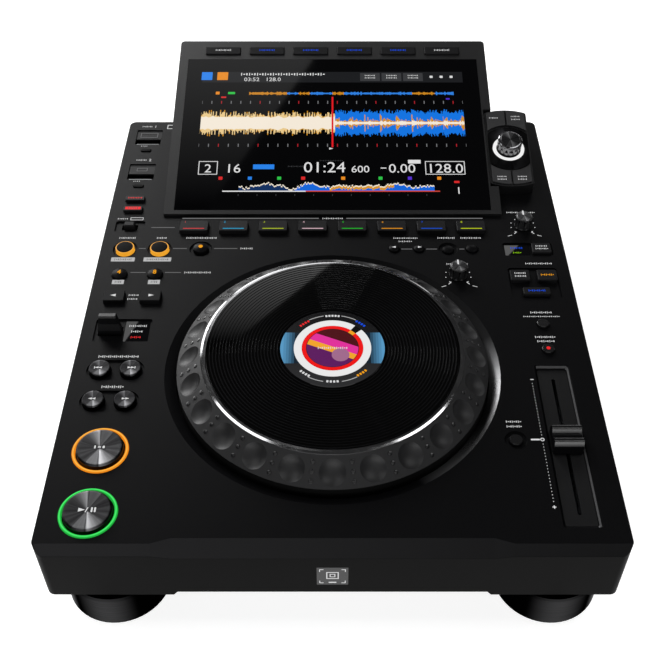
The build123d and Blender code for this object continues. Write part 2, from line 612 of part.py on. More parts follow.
def flap_axis(y):
    """Where a socket flap's pins lie, in Y and Z."""
    return y + USB_RECESS[1] / 2 - FLAP_PIN_RADIUS - 0.6, PANEL_TOP - 1.6


def usb_pocket(y):
    """The block under the panel that holds one socket pocket."""
    bottom = PANEL_TOP - USB_RECESS_DEPTH - POCKET_WALL
    return slab(grown(USB_RECESS, POCKET_WALL), 1.5, bottom, PANEL_UNDER + 0.5, LEFT_X, y)


def usb_cuts(index, y):
    """The pocket, the socket's opening and the holes for the flap's pins."""
    axis_y, axis_z = flap_axis(y)
    pins = Pos(LEFT_X, axis_y, axis_z) * Rot(0, 90, 0) * Cylinder(
        FLAP_PIN_RADIUS + FIT_GAP, USB_RECESS[0] + 2 * 1.4)
    socket = slab(grown(SOCKET_SHELLS[index], DROP_IN), 0.8,
                  PANEL_TOP - USB_RECESS_DEPTH - POCKET_WALL - 1, PANEL_TOP, LEFT_X, socket_y(y))
    return [pins, socket]


def socket_y(y):
    """A socket stands under its flap, in the back half of its pocket."""
    return y + USB_RECESS[1] / 2 - FLAP_LENGTH / 2 - 1.0


def top_panel():
    """The moulded cover: top, front and sides, the jog wheel's well and every pocket."""
    depth = REAR_Y - FRONT_Y
    middle = (REAR_Y + FRONT_Y) / 2
    body = slab((WIDTH, depth), CORNER_RADIUS, BODY_BOTTOM, PANEL_TOP, 0, middle)
    hollow = extrude(Plane.YZ * hollow_section(), WIDTH / 2 - SIDE_WALL, both=True)
    arch = extrude(Plane.XZ.offset(-FRONT_Y + 1) * arch_section(BODY_BOTTOM - 1, BODY_BOTTOM + ARCH_RISE),
                   -SIDE_WALL - 2)
    body = body - hollow - front_cuts() - arch

    cup_bottom = WELL_BOTTOM - WELL_FLOOR
    additions = [disc(WELL_RADIUS + CUP_WALL, cup_bottom, PANEL_UNDER + 0.5, 0, JOG_Y)]
    additions += [usb_pocket(y) for y in USB_Y]
    additions.append(slab(grown(FADER_RECESS, 1.5), 2.0, PANEL_TOP - FADER_BOSS_DEPTH, PANEL_UNDER + 0.5,
                          RIGHT_X, FADER_Y))
    additions += [disc(BOSS_RADIUS, BODY_BOTTOM + SHEET, PANEL_UNDER + 0.5, x, y) for x, y in BOSSES]
    additions += pivot_ears(LEVER_X, DIRECTION_Y, True, LEVER_WIDTH)
    additions += pivot_ears(LEFT_X, MODE_LEVER_Y, False, MODE_LEVER[1])
    body = body + additions

    well = turned([
        (0, WELL_BOTTOM), (WELL_RADIUS, WELL_BOTTOM), (WELL_RADIUS, PANEL_TOP - WELL_BEVEL_DEPTH),
        (WELL_BEVEL_RADIUS, PANEL_TOP), (WELL_BEVEL_RADIUS, PANEL_TOP + 1), (0, PANEL_TOP + 1),
    ], 0, JOG_Y)
    cable_way = disc(SPINDLE_RADIUS - 5, cup_bottom - 1, WELL_BOTTOM + 1, 0, JOG_Y)
    cuts = [well, cable_way]
    cuts += panel_openings()
    for i, y in enumerate(USB_Y):
        cuts += usb_cuts(i, y)
    recess = (PANEL_TOP - RECESS, PANEL_TOP + 1)
    cuts.append(slab(DIRECTION_RECESS, RECESS_CORNER, *recess, DIRECTION_X, DIRECTION_Y))
    cuts.append(slab(grown(DIRECTION_WINDOW, DROP_IN), 0.6, PANEL_TOP - RECESS - WINDOW_THICKNESS,
                     PANEL_TOP, DIRECTION_WINDOW_X, DIRECTION_Y))
    cuts.append(lever_slot())
    cuts.append(slab(MODE_LEVER_RECESS, RECESS_CORNER, *recess, LEFT_X, MODE_LEVER_Y))
    cuts.append(mode_lever_slot())
    cuts.append(slab(grown(JOG_MODE_WINDOW, DROP_IN), 0.6, PANEL_TOP - RECESS - WINDOW_THICKNESS,
                     PANEL_TOP, JOG_MODE_WINDOW_X, JOG_MODE_Y))
    floor, rim = [Plane((RIGHT_X, FADER_Y, z)) * RectangleRounded(*size, 1.5)
                  for z, size in ((FADER_PLATE_TOP, grown(FADER_PLATE, DROP_IN)), (PANEL_TOP, FADER_RECESS))]
    cuts.append(loft([floor, rim]))
    cuts.append(slab(grown(FADER_PLATE, DROP_IN), 1.0, FADER_PLATE_TOP - FADER_PLATE_THICKNESS,
                     PANEL_TOP, RIGHT_X, FADER_Y))
    cuts.append(slab((FADER_BLADE[0] + 4, 2 * FADER_TRAVEL + FADER_BLADE[1] + 4), 1.0,
                     PANEL_TOP - FADER_BOSS_DEPTH - 1, PANEL_TOP, RIGHT_X, FADER_Y))
    touch = Pos(0, FRONT_Y, TOUCH_WINDOW_Z) * Box(
        TOUCH_WINDOW + 2 * DROP_IN, 2 * WINDOW_THICKNESS, TOUCH_WINDOW + 2 * DROP_IN)
    cuts.append(touch)
    return body - cuts


def bottom_chassis():
    """The folded steel pan with its raised middle, its rear wall and the board standoffs."""
    half = WIDTH / 2 - SIDE_WALL - SEAT_GAP
    front = FRONT_Y + SIDE_WALL + SEAT_GAP
    length = REAR_WALL_Y - front
    low = BODY_BOTTOM
    rise = ARCH_RISE
    foot = SCOOP_HALF + ARCH_RISE
    section = make_face(Polyline(
        (-half, low), (-foot, low), (-SCOOP_HALF, low + rise), (SCOOP_HALF, low + rise), (foot, low),
        (half, low), (half, low + SHEET), (foot + SHEET / 2, low + SHEET),
        (SCOOP_HALF + SHEET / 2, low + rise + SHEET), (-SCOOP_HALF - SHEET / 2, low + rise + SHEET),
        (-foot - SHEET / 2, low + SHEET), (-half, low + SHEET), close=True,
    ))
    pan = extrude(Plane.XZ.offset(-front) * section, -length)
    wall_top = PANEL_UNDER - SEAT_GAP
    wall = Pos(0, REAR_WALL_Y - SHEET / 2, (low + rise + wall_top) / 2) * Box(
        2 * half, SHEET, wall_top - low - rise)
    sills = [
        Pos(side * (half + foot) / 2, REAR_WALL_Y - SHEET / 2, low + rise / 2 + SHEET / 2)
        * Box(half - foot, SHEET, rise + SHEET)
        for side in (-1, 1)
    ]
    posts = [disc(POST_RADIUS, low + rise + SHEET / 2, BOARD_Z, x, y) for x, y in BOARD_POSTS]
    pan = pan + [wall] + sills + posts
    return pan - rear_wall_holes()


def rear_box(size, x, z, depth_in, depth_out, corner):
    """A block through the rear wall, from inside to outside, with rounded corners."""
    outline = Plane(origin=(x, REAR_WALL_Y - depth_in, z), x_dir=(-1, 0, 0), z_dir=(0, 1, 0))
    return extrude(outline * RectangleRounded(size[0], size[1], corner), depth_in + depth_out)


def rear_rod(radius, x, depth_in, depth_out):
    """A round piece through the rear wall."""
    middle = REAR_WALL_Y + (depth_out - depth_in) / 2
    return Pos(x, middle, SOCKET_Z) * Rot(90, 0, 0) * Cylinder(radius, depth_in + depth_out)


def rear_wall_holes():
    """The openings in the rear wall, one for each socket."""
    holes = [rear_rod(JACK_RADIUS + DROP_IN, x, 5, 5) for x in (DIGITAL_X, *AUDIO_X)]
    holes.append(rear_box(grown(NETWORK, DROP_IN), NETWORK_X, SOCKET_Z, 5, 5, 0.6))
    holes.append(rear_box(grown(INLET, -1.5 + DROP_IN), INLET_X, SOCKET_Z, 5, 5, 2.0))
    holes.append(rear_box(grown(SWITCH, 1.5 + DROP_IN), SWITCH_X, SOCKET_Z, 5, 5, 1.0))
    return holes


def rear_sockets():
    """Mains inlet, power switch frame, network socket and three pin jacks, as separate solids."""
    pieces = []
    shell = rear_box(INLET, INLET_X, SOCKET_Z, 0, 1.8, 2.5)
    shell += rear_box(grown(INLET, -1.5), INLET_X, SOCKET_Z, SOCKET_DEPTH, 0, 2.0)
    shell -= rear_box(grown(INLET, -3.0), INLET_X, SOCKET_Z, SOCKET_DEPTH - 2, 3, 1.5)
    for x, z in ((-7, -2), (0, 2), (7, -2)):
        shell += rear_box((2, 4), INLET_X + x, SOCKET_Z + z, SOCKET_DEPTH - 1, -5, 0.4)
    pieces.append(shell)
    frame = rear_box(grown(SWITCH, 2.4), SWITCH_X, SOCKET_Z, 0, 0.9, 1.5)
    frame += rear_box(grown(SWITCH, 1.5), SWITCH_X, SOCKET_Z, SOCKET_DEPTH, 0, 1.0)
    frame -= rear_box(grown(SWITCH, SLIDE_GAP), SWITCH_X, SOCKET_Z, SOCKET_DEPTH - 2, 3, 0.8)
    pieces.append(frame)
    network = rear_box(NETWORK, NETWORK_X, SOCKET_Z, SOCKET_DEPTH, 0.6, 0.5)
    network -= rear_box(grown(NETWORK, -1.9), NETWORK_X, SOCKET_Z, SOCKET_DEPTH - 3, 3, 0.4)
    pieces.append(network)
    for x in (DIGITAL_X, *AUDIO_X):
        jack = rear_rod(JACK_RADIUS, x, SHEET + 1, JACK_LENGTH)
        jack += rear_rod(JACK_NUT[0], x, 0, JACK_NUT[1])
        jack += rear_box((JACK_BLOCK, JACK_BLOCK), x, SOCKET_Z, SOCKET_DEPTH, -SHEET, 1.0)
        jack -= rear_rod(JACK_BORE, x, 2, JACK_LENGTH + 1)
        pieces.append(jack)
    return pieces


def power_switch():
    """The push button of the power switch."""
    return rear_box(SWITCH, SWITCH_X, SOCKET_Z, SOCKET_DEPTH - 2 - SWITCH_TRAVEL - 0.2, 2.6, 0.8)


# ---------------------------------------------------------------- feet
def foot(x, y):
    """A turned metal foot with a neck that screws to the pan and a recess for its pad."""
    body = turned([
        (0, PAD_THICKNESS), (PAD_RADIUS + DROP_IN, PAD_THICKNESS), (PAD_RADIUS + DROP_IN, PAD_PROUD),
        (FOOT_RADIUS - 0.8, PAD_PROUD), (FOOT_RADIUS, PAD_PROUD + 0.8),
        (FOOT_RADIUS, FOOT_HEIGHT - 1.2), (FOOT_RADIUS - 1.2, FOOT_HEIGHT),
        (FOOT_NECK_RADIUS, FOOT_HEIGHT), (FOOT_NECK_RADIUS, BODY_BOTTOM), (0, BODY_BOTTOM),
    ], x, y)
    return body


def foot_pad(x, y):
    """A rubber ring under a foot."""
    ring = disc(PAD_RADIUS, 0, PAD_THICKNESS, x, y) - disc(PAD_RADIUS - 12, -1, PAD_THICKNESS + 1, x, y)
    return chamfer(top_edges(ring, 0), 0.4)


# ---------------------------------------------------------------- jog wheel
def flank_normal():
    """The outward direction of the sloping flank, in radius and height."""
    run = WHEEL_RADIUS - FLANK_TOP_RADIUS
    rise = FLANK_TOP_Z - WHEEL_EDGE_Z
    length = (run ** 2 + rise ** 2) ** 0.5
    return rise / length, run / length, length


def jog_wheel():
    """The moulded wheel: hub, deck and the sloping flank with its ring of finger dimples."""
    out, up, length = flank_normal()
    inner_edge = (WHEEL_RADIUS - FLANK_WALL * 0.7, WHEEL_EDGE_Z - 4.2)
    inner_top = (FLANK_TOP_RADIUS - FLANK_WALL * out, FLANK_TOP_Z - FLANK_WALL * up)
    step = DECK_STEP_RADIUS
    body = turned([
        (HUB_RADIUS, BEARING_BOTTOM), (HUB_RADIUS, HUB_TOP), (step, HUB_TOP), (step, FLANK_TOP_Z),
        (FLANK_TOP_RADIUS, FLANK_TOP_Z), (WHEEL_RADIUS, WHEEL_EDGE_Z), (WHEEL_RADIUS, WHEEL_BOTTOM),
        (inner_edge[0], WHEEL_BOTTOM), inner_edge, inner_top,
        (step + DECK_WALL, inner_top[1]), (step + DECK_WALL, HUB_TOP - DECK_WALL),
        (HUB_RADIUS + HUB_WALL, HUB_TOP - DECK_WALL), (HUB_RADIUS + HUB_WALL, BEARING_BOTTOM),
    ], 0, JOG_Y)
    ball = (DIMPLE_RADIUS ** 2 + DIMPLE_DEPTH ** 2) / (2 * DIMPLE_DEPTH)
    lift = ball - DIMPLE_DEPTH
    radius = (WHEEL_RADIUS + FLANK_TOP_RADIUS) / 2 + lift * out
    height = (WHEEL_EDGE_Z + FLANK_TOP_Z) / 2 + lift * up
    dimples = [
        Pos(0, JOG_Y, 0) * Rot(0, 0, 360 / DIMPLES * i) * Pos(0, -radius, height) * Sphere(ball)
        for i in range(DIMPLES)
    ]
    return body - dimples


def jog_trim_ring():
    """The bright ring that frames the platter."""
    low = FLANK_TOP_Z
    high = low + TRIM_HEIGHT
    return turned([
        (TRIM_INNER_RADIUS, low), (FLANK_TOP_RADIUS, low), (FLANK_TOP_RADIUS, low + TRIM_HEIGHT * 0.5),
        (FLANK_TOP_RADIUS - TRIM_HEIGHT, high), (TRIM_INNER_RADIUS + 0.5, high),
        (TRIM_INNER_RADIUS, high - 0.5),
    ], 0, JOG_Y)


def jog_platter():
    """The grooved metal disc that is pressed and turned, with the ring that guides it."""
    bottom = PLATTER_TOP - PLATTER_THICKNESS
    outer = TRIM_INNER_RADIUS - PLATTER_GAP
    inner = DISPLAY_DISC_RADIUS + PLATTER_GAP
    seat = FLANK_TOP_Z + PLATTER_TRAVEL + SEAT_GAP
    return turned([
        (inner, bottom), (DECK_STEP_RADIUS, bottom), (DECK_STEP_RADIUS, seat), (DECK_STEP_RADIUS + 3, seat),
        (DECK_STEP_RADIUS + 3, bottom), (outer - 3, bottom), (outer - 3, seat), (outer, seat),
        (outer, PLATTER_TOP - 0.6), (outer - 0.6, PLATTER_TOP), (inner + 0.4, PLATTER_TOP),
        (inner, PLATTER_TOP - 0.4),
    ], 0, JOG_Y)


def jog_spindle():
    """The fixed hollow post in the middle of the well, with its screw flange."""
    bore = SPINDLE_RADIUS - 5
    top = WELL_BOTTOM + SPINDLE_FLANGE
    return turned([
        (bore, WELL_BOTTOM), (SPINDLE_FLANGE_RADIUS, WELL_BOTTOM), (SPINDLE_FLANGE_RADIUS, top),
        (SPINDLE_RADIUS + 2, top), (SPINDLE_RADIUS + 2, BEARING_BOTTOM), (SPINDLE_RADIUS, BEARING_BOTTOM),
        (SPINDLE_RADIUS, DISC_BOTTOM), (bore, DISC_BOTTOM),
    ], 0, JOG_Y)


def jog_bearing():
    """The ball bearing between post and hub, as one ring with its two grooves."""
    inner = SPINDLE_RADIUS + 0.02
    high = BEARING_BOTTOM + BEARING_HEIGHT
    lip = 0.8
    race = (BEARING_OUTER_RADIUS + inner) / 2
    return turned([
        (inner, BEARING_BOTTOM), (race - 1, BEARING_BOTTOM), (race - 1, BEARING_BOTTOM + lip),
        (race + 1, BEARING_BOTTOM + lip), (race + 1, BEARING_BOTTOM), (BEARING_OUTER_RADIUS, BEARING_BOTTOM),
        (BEARING_OUTER_RADIUS, high), (race + 1, high), (race + 1, high - lip), (race - 1, high - lip),
        (race - 1, high), (inner, high),
    ], 0, JOG_Y)


def jog_display():
    """The round display that stays still in the middle of the wheel."""
    top = PANEL_TOP + DISPLAY_DISC_PROUD
    return turned([
        (0, DISC_BOTTOM), (DISPLAY_DISC_RADIUS - 3, DISC_BOTTOM), (DISPLAY_DISC_RADIUS, DISC_BOTTOM + 3),
        (DISPLAY_DISC_RADIUS, top - 0.6), (DISPLAY_DISC_RADIUS - 0.6, top), (0, top),
    ], 0, JOG_Y)


# ---------------------------------------------------------------- screen unit
def on_screen(x, s, h, part):
    """Place a part on the tilted face: x across, s up the slope, h above the face."""
    return SCREEN_PLANE.location * Pos(x, s, h) * part


def screen_section():
    """The side outline of the screen housing, in Y and Z."""
    return make_face(Polyline(
        (SCREEN_FRONT_Y, PANEL_TOP), (SCREEN_FRONT_Y, PANEL_TOP + SCREEN_LIP),
        (SCREEN_REAR_Y, SCREEN_REAR_Z), (SCREEN_REAR_Y, SCREEN_REAR_Z - SCREEN_REAR_DEPTH),
        (REAR_Y - SCREEN_REAR_FOOT, PANEL_TOP), close=True,
    ))


def screen_hollow_section():
    """The space inside the housing, open onto the panel."""
    rise = (SCREEN_REAR_Z - SCREEN_REAR_DEPTH - PANEL_TOP) / (SCREEN_REAR_Y - REAR_Y + SCREEN_REAR_FOOT)
    angle = atan2(rise, 1)
    face_drop = SCREEN_FACE / SLOPE_Y
    wall_lift = SCREEN_WALL / cos(angle)
    slope = tan(radians(SCREEN_TILT))
    front_z = PANEL_TOP + SCREEN_LIP - face_drop
    rear_y = SCREEN_REAR_Y - SCREEN_WALL
    low = PANEL_TOP - 1
    return make_face(Polyline(
        (SCREEN_FRONT_Y + (low - front_z) / slope, low),
        (rear_y, front_z + (rear_y - SCREEN_FRONT_Y) * slope),
        (rear_y, PANEL_TOP + wall_lift + (rear_y - REAR_Y + SCREEN_REAR_FOOT) * rise),
        (REAR_Y - SCREEN_REAR_FOOT - wall_lift / rise, PANEL_TOP),
        (REAR_Y - SCREEN_REAR_FOOT - wall_lift / rise, low),
        close=True,
    ))


def display_housing():
    """The tilted screen's housing: an open-bottomed wedge that overhangs the rear."""
    body = extrude(Plane.YZ * screen_section(), SCREEN_HALF_WIDTH, both=True)
    rear_edges = body.edges().filter_by(Axis.Z).group_by(Axis.Y)[-1]
    body = fillet(rear_edges, 3.0)
    cavity_half = POD_X - POD_HALF_WIDTH - SLIDE_GAP - SCREEN_WALL
    hollow = extrude(Plane.YZ * screen_hollow_section(), cavity_half, both=True)
    glass = on_screen(0, GLASS_START + GLASS_LENGTH / 2, -GLASS_THICKNESS / 2 + 0.5,
                      Box(2 * (GLASS_HALF_WIDTH + DROP_IN), GLASS_LENGTH + 2 * DROP_IN, GLASS_THICKNESS + 1))
    window = on_screen(0, LCD_START + LCD_LENGTH / 2, -SCREEN_FACE,
                       Box(LCD_WIDTH + 2 * DROP_IN, LCD_LENGTH + 2 * DROP_IN, 2 * SCREEN_FACE))
    pod_room = Pos(POD_X, (POD_FRONT_Y + POD_REAR_Y) / 2, PANEL_TOP) * Box(
        2 * (POD_HALF_WIDTH + SLIDE_GAP), POD_REAR_Y - POD_FRONT_Y + 2 * SLIDE_GAP, 2 * SCREEN_REAR_Z)
    cuts = [hollow, glass, window, pod_room]
    for x in MENU_X:
        hole = Box(MENU_KEY[0] + 2 * SLIDE_GAP, MENU_KEY[1] + 2 * SLIDE_GAP, 3 * SCREEN_FACE)
        cuts.append(on_screen(x, MENU_KEY_START + MENU_KEY[1] / 2, 0, hole))
    return body - cuts


def display_glass():
    """The sheet of glass over the touch screen."""
    sheet = RectangleRounded(2 * GLASS_HALF_WIDTH, GLASS_LENGTH, 1.0)
    middle = GLASS_START + GLASS_LENGTH / 2
    return on_screen(0, middle, -GLASS_THICKNESS, extrude(sheet, GLASS_THICKNESS))


def lcd_module():
    """The liquid crystal panel behind the glass."""
    middle = LCD_START + LCD_LENGTH / 2
    panel = Box(LCD_WIDTH, LCD_LENGTH, LCD_THICKNESS)
    return on_screen(0, middle, -GLASS_THICKNESS - LCD_THICKNESS / 2, panel)


def menu_key(x):
    """One of the long keys above the screen."""
    cap_low = -SCREEN_FACE - SEAT_GAP - FLANGE_THICKNESS
    cap = extrude(RectangleRounded(*MENU_KEY, 1.0), MENU_KEY_PROUD - cap_low)
    cap = chamfer(top_edges(cap, MENU_KEY_PROUD - cap_low), KEY_EDGE)
    ledge = extrude(RectangleRounded(*grown(MENU_KEY, FLANGE), 1.0), FLANGE_THICKNESS)
    return on_screen(x, MENU_KEY_START + MENU_KEY[1] / 2, cap_low, cap + ledge)


# ---------------------------------------------------------------- selector pod
def pod_outline(length, margin=0.0):
    """The pod's outline, straight sides and bulging ends, measured from its front edge."""
    half = POD_HALF_WIDTH
    bulge = POD_BULGE * length / POD_LENGTH
    front = ThreePointArc((-half, bulge), (0, 0), (half, bulge))
    right = Line(front @ 1, (half, length - bulge))
    back = ThreePointArc(right @ 1, (0, length), (-half, length - bulge))
    left = Line(back @ 1, front @ 0)
    face = make_face([front, right, back, left])
    face = fillet(face.vertices(), 2.5)
    return offset(face, -margin) if margin else face


def on_pod(x, s, h, part):
    """Place a part on the pod's face: x across, s up the slope, h above the face."""
    return POD_PLANE.location * Pos(x, s, h) * part


def above_pod(depth):
    """Everything above the pod's face, lowered by a depth."""
    height = 2 * POD_REAR_HEIGHT
    return on_pod(0, POD_LENGTH / 2, height / 2 - depth, Box(4 * POD_HALF_WIDTH, 3 * POD_LENGTH, height))


def pod_key_faces():
    """The outlines of the four keys round the selector."""
    ring = Pos(0, SELECTOR_FROM_FRONT) * Circle(SELECTOR_KEY_RADIUS)
    split = Pos(0, POD_LENGTH / 2) * Rectangle(POD_KEY_GAP, 2 * POD_LENGTH)
    field = pod_outline(POD_LENGTH, POD_KEY_MARGIN)
    return (field - ring - split).faces()


def selector_pod():
    """The raised housing beside the screen that carries the selector and four keys."""
    height = POD_REAR_HEIGHT + 4
    flat_length = POD_LENGTH * SLOPE_Y
    place = Pos(POD_X, POD_FRONT_Y, PANEL_TOP)
    body = place * extrude(pod_outline(flat_length), height)
    inner = place * Pos(0, 0, -1) * extrude(pod_outline(flat_length, POD_WALL), height)
    body = body - above_pod(0) - (inner - above_pod(POD_FACE))
    cuts = [
        on_pod(0, SELECTOR_FROM_FRONT, 0, Cylinder(SHAFT_RADIUS + FIT_GAP, 4 * POD_FACE)),
        on_pod(0, SELECTOR_FROM_FRONT, 0, Cylinder(SELECTOR_RING[1] + DROP_IN, 2 * SELECTOR_RING_DEPTH)),
    ]
    for face in pod_key_faces():
        cuts.append(on_pod(0, 0, -2 * POD_FACE, extrude(offset(face, SLIDE_GAP), 4 * POD_FACE)))
    return body - cuts


def selector_pod_keys():
    """The four keys round the selector."""
    keys = []
    low = -POD_FACE
    for face in pod_key_faces():
        cap = on_pod(0, 0, low, extrude(face, POD_KEY_PROUD - low))
        keys.append(cap)
    return keys


def selector_shaft():
    """The push shaft that carries the selector knob."""
    low = -POD_FACE - SEAT_GAP - 2.0
    stem = on_pod(0, SELECTOR_FROM_FRONT, (low + KNOB_HEIGHT - 2.5) / 2,
                  Cylinder(SHAFT_RADIUS, KNOB_HEIGHT - 2.5 - low))
    collar = on_pod(0, SELECTOR_FROM_FRONT, low + 1.0, Cylinder(SHAFT_RADIUS + 2, 2.0))
    return stem + collar


def selector_knob():
    """The turning knob, waisted towards its foot."""
    foot_z = SELECTOR_TRAVEL + 0.6
    bore_top = KNOB_HEIGHT - 2.5 + SEAT_GAP
    knob = turned([
        (SHAFT_RADIUS + FIT_GAP, foot_z), (KNOB_RADIUS - 1.2, foot_z), (KNOB_RADIUS, KNOB_HEIGHT - 2.4),
        (KNOB_RADIUS - 0.7, KNOB_HEIGHT - 0.3), (KNOB_RADIUS - 1.2, KNOB_HEIGHT), (0, KNOB_HEIGHT),
        (0, bore_top), (SHAFT_RADIUS + FIT_GAP, bore_top),
    ])
    return on_pod(0, SELECTOR_FROM_FRONT, 0, knob)


def light_rings():
    """The lit rings round the cue and play buttons and the selector."""
    rings = []
    for y in (CUE_Y, PLAY_Y):
        ring = disc(BIG_RING_RADIUS, PANEL_TOP - RECESS, PANEL_TOP + 0.8, BIG_X, y)
        ring -= disc(BIG_RING_RADIUS - LIGHT_RING_WIDTH, PANEL_TOP - RECESS - 1, PANEL_TOP + 2, BIG_X, y)
        rings.append(chamfer(top_edges(ring, PANEL_TOP + 0.8), 0.6))
    inner, outer = SELECTOR_RING
    ring = Cylinder(outer, SELECTOR_RING_DEPTH + 0.2) - Cylinder(inner, 3 * SELECTOR_RING_DEPTH)
    rings.append(on_pod(0, SELECTOR_FROM_FRONT, (0.2 - SELECTOR_RING_DEPTH) / 2, ring))
    return rings


# ---------------------------------------------------------------- small controls
def looping_button(x, y):
    """A round button with a raised collar round its cap."""
    ledge_top = PANEL_UNDER - SEAT_GAP
    top = PANEL_TOP + LOOP_PROUD
    return turned([
        (0, ledge_top - FLANGE_THICKNESS), (LOOP_RADIUS + FLANGE, ledge_top - FLANGE_THICKNESS),
        (LOOP_RADIUS + FLANGE, ledge_top), (LOOP_RADIUS, ledge_top), (LOOP_RADIUS, top - 0.4),
        (LOOP_RADIUS - 0.4, top), (LOOP_RADIUS - 1.0, top), (LOOP_RADIUS - 1.2, top - 0.4), (0, top - 0.4),
    ], x, y)


def big_button(y):
    """A cue or play button: a wide cap with a bevelled rim and a slightly dished face."""
    ledge_top = PANEL_UNDER - SEAT_GAP
    top = PANEL_TOP + KEY_PROUD
    return turned([
        (0, ledge_top - FLANGE_THICKNESS), (BIG_CAP_RADIUS + FLANGE, ledge_top - FLANGE_THICKNESS),
        (BIG_CAP_RADIUS + FLANGE, ledge_top), (BIG_CAP_RADIUS, ledge_top),
        (BIG_CAP_RADIUS, top - 1.0), (BIG_CAP_RADIUS - 1.0, top), (BIG_CAP_RADIUS - 1.6, top),
        (0, top - 0.6),
    ], BIG_X, y)


def stadium_cap(x, y):
    """A round search button with a dished face."""
    ledge_top = PANEL_UNDER - SEAT_GAP
    top = PANEL_TOP + 2.4
    radius = STADIUM_CAP_RADIUS
    return turned([
        (0, ledge_top - FLANGE_THICKNESS), (radius + FLANGE, ledge_top - FLANGE_THICKNESS),
        (radius + FLANGE, ledge_top), (radius, ledge_top), (radius, top - 0.7),
        (radius - 0.6, top), (radius - 1.1, top), (0, top - 0.4),
    ], x, y)


def turn_knob(x, y):
    """A fluted knob on its shaft, held under the panel by a nut."""
    low = PANEL_TOP + TURN_KNOB_RISE
    top = low + TURN_KNOB_HEIGHT
    radius = TURN_KNOB_RADIUS
    nut = PANEL_UNDER - SEAT_GAP
    return turned([
        (0, nut - 2.0), (SHAFT_RADIUS + 2, nut - 2.0), (SHAFT_RADIUS + 2, nut), (SHAFT_RADIUS, nut),
        (SHAFT_RADIUS, low), (radius, low), (radius, low + 1.4), (radius - 0.7, low + 1.8),
        (radius - 0.9, top - 0.8), (radius - 1.6, top), (0, top),
    ], x, y)


def direction_lever():
    """The paddle that leans back and forth, with its pivot pins."""
    pivot = LEVER_PIVOT_Z
    height = PANEL_TOP + LEVER_PROUD - pivot
    half = LEVER_THICKNESS / 2
    section = make_face(Polyline(
        (-half, 0), (half, 0), (half, height - 0.6), (half - 0.8, height), (-half + 1.0, height),
        (-half + 0.2, height - 1.2), (-half + 1.0, height * 0.68), (-half, LEVER_PIVOT_DEPTH + 1.5),
        close=True,
    ))
    paddle = extrude(Plane.YZ * section, LEVER_WIDTH / 2, both=True)
    wide, narrow = LEVER_WIDTH / 2, LEVER_TOP_WIDTH / 2
    front = make_face(Polyline(
        (-wide, -1), (wide, -1), (wide, LEVER_PIVOT_DEPTH + 1.5), (narrow, height + 0.1),
        (-narrow, height + 0.1), (-wide, LEVER_PIVOT_DEPTH + 1.5), close=True,
    ))
    paddle &= extrude(Plane.XZ * front, LEVER_THICKNESS, both=True)
    hub = Rot(0, 90, 0) * Cylinder(LEVER_PIN_RADIUS + 1.8, LEVER_WIDTH)
    pins = Rot(0, 90, 0) * Cylinder(LEVER_PIN_RADIUS, LEVER_WIDTH + 2 * EAR_THICKNESS)
    return Pos(LEVER_X, DIRECTION_Y, pivot) * (paddle + hub + pins)


def hot_cue_mode_lever():
    """The small lever that leans left and right."""
    pivot = LEVER_PIVOT_Z
    height = PANEL_TOP + MODE_LEVER_PROUD - pivot
    width, depth = MODE_LEVER
    stick = Pos(0, 0, height / 2) * Box(width, depth, height)
    stick = chamfer(top_edges(stick, height), 0.8)
    hub = Rot(90, 0, 0) * Cylinder(LEVER_PIN_RADIUS + 1.2, depth)
    pins = Rot(90, 0, 0) * Cylinder(LEVER_PIN_RADIUS, depth + 2 * EAR_THICKNESS)
    return Pos(LEFT_X, MODE_LEVER_Y, pivot) * (stick + hub + pins)


def usb_flap(y):
    """A socket's lid, on two pins at its back edge."""
    axis_y, axis_z = flap_axis(y)
    width = USB_RECESS[0] - 2 * SLIDE_GAP
    half = FLAP_THICKNESS / 2
    plate = Pos(0, -FLAP_LENGTH / 2, 0) * Box(width, FLAP_LENGTH, FLAP_THICKNESS)
    plate = chamfer(plate.edges().filter_by(Axis.X).group_by(Axis.Y)[0], 0.3)
    hub = Rot(0, 90, 0) * Cylinder(half + 0.2, width)
    pins = Rot(0, 90, 0) * Cylinder(FLAP_PIN_RADIUS, USB_RECESS[0] + 2)
    return Pos(LEFT_X, axis_y, axis_z) * (plate + hub + pins)


def usb_sockets():
    """The two socket shells with their contact tongues."""
    shells = []
    high = PANEL_TOP - USB_RECESS_DEPTH + 0.4
    low = high - SHELL_HEIGHT
    for size, y in zip(SOCKET_SHELLS, USB_Y):
        shell = slab(size, SHELL_WALL, low, high, LEFT_X, socket_y(y))
        shell -= slab(grown(size, -SHELL_WALL), SHELL_WALL / 2, low + 1, high + 1, LEFT_X, socket_y(y))
        tongue_size = (size[0] - 2 * TONGUE_INSET, size[1] / 4)
        tongue = slab(tongue_size, 0.1, low + 0.5, high - 0.8, LEFT_X, socket_y(y))
        shells.append(shell + tongue)
    return shells


# ---------------------------------------------------------------- tempo fader
def tempo_slot_plate():
    """The plate in the fader's recess, with the long slot."""
    low = FADER_PLATE_TOP - FADER_PLATE_THICKNESS
    plate = slab(FADER_PLATE, 1.0, low, FADER_PLATE_TOP, RIGHT_X, FADER_Y)
    slot = (FADER_SLOT_WIDTH, 2 * FADER_TRAVEL + FADER_BLADE[1] + 1.0)
    return plate - slab(slot, FADER_SLOT_WIDTH / 2 - 0.01, low - 1, PANEL_TOP, RIGHT_X, FADER_Y)


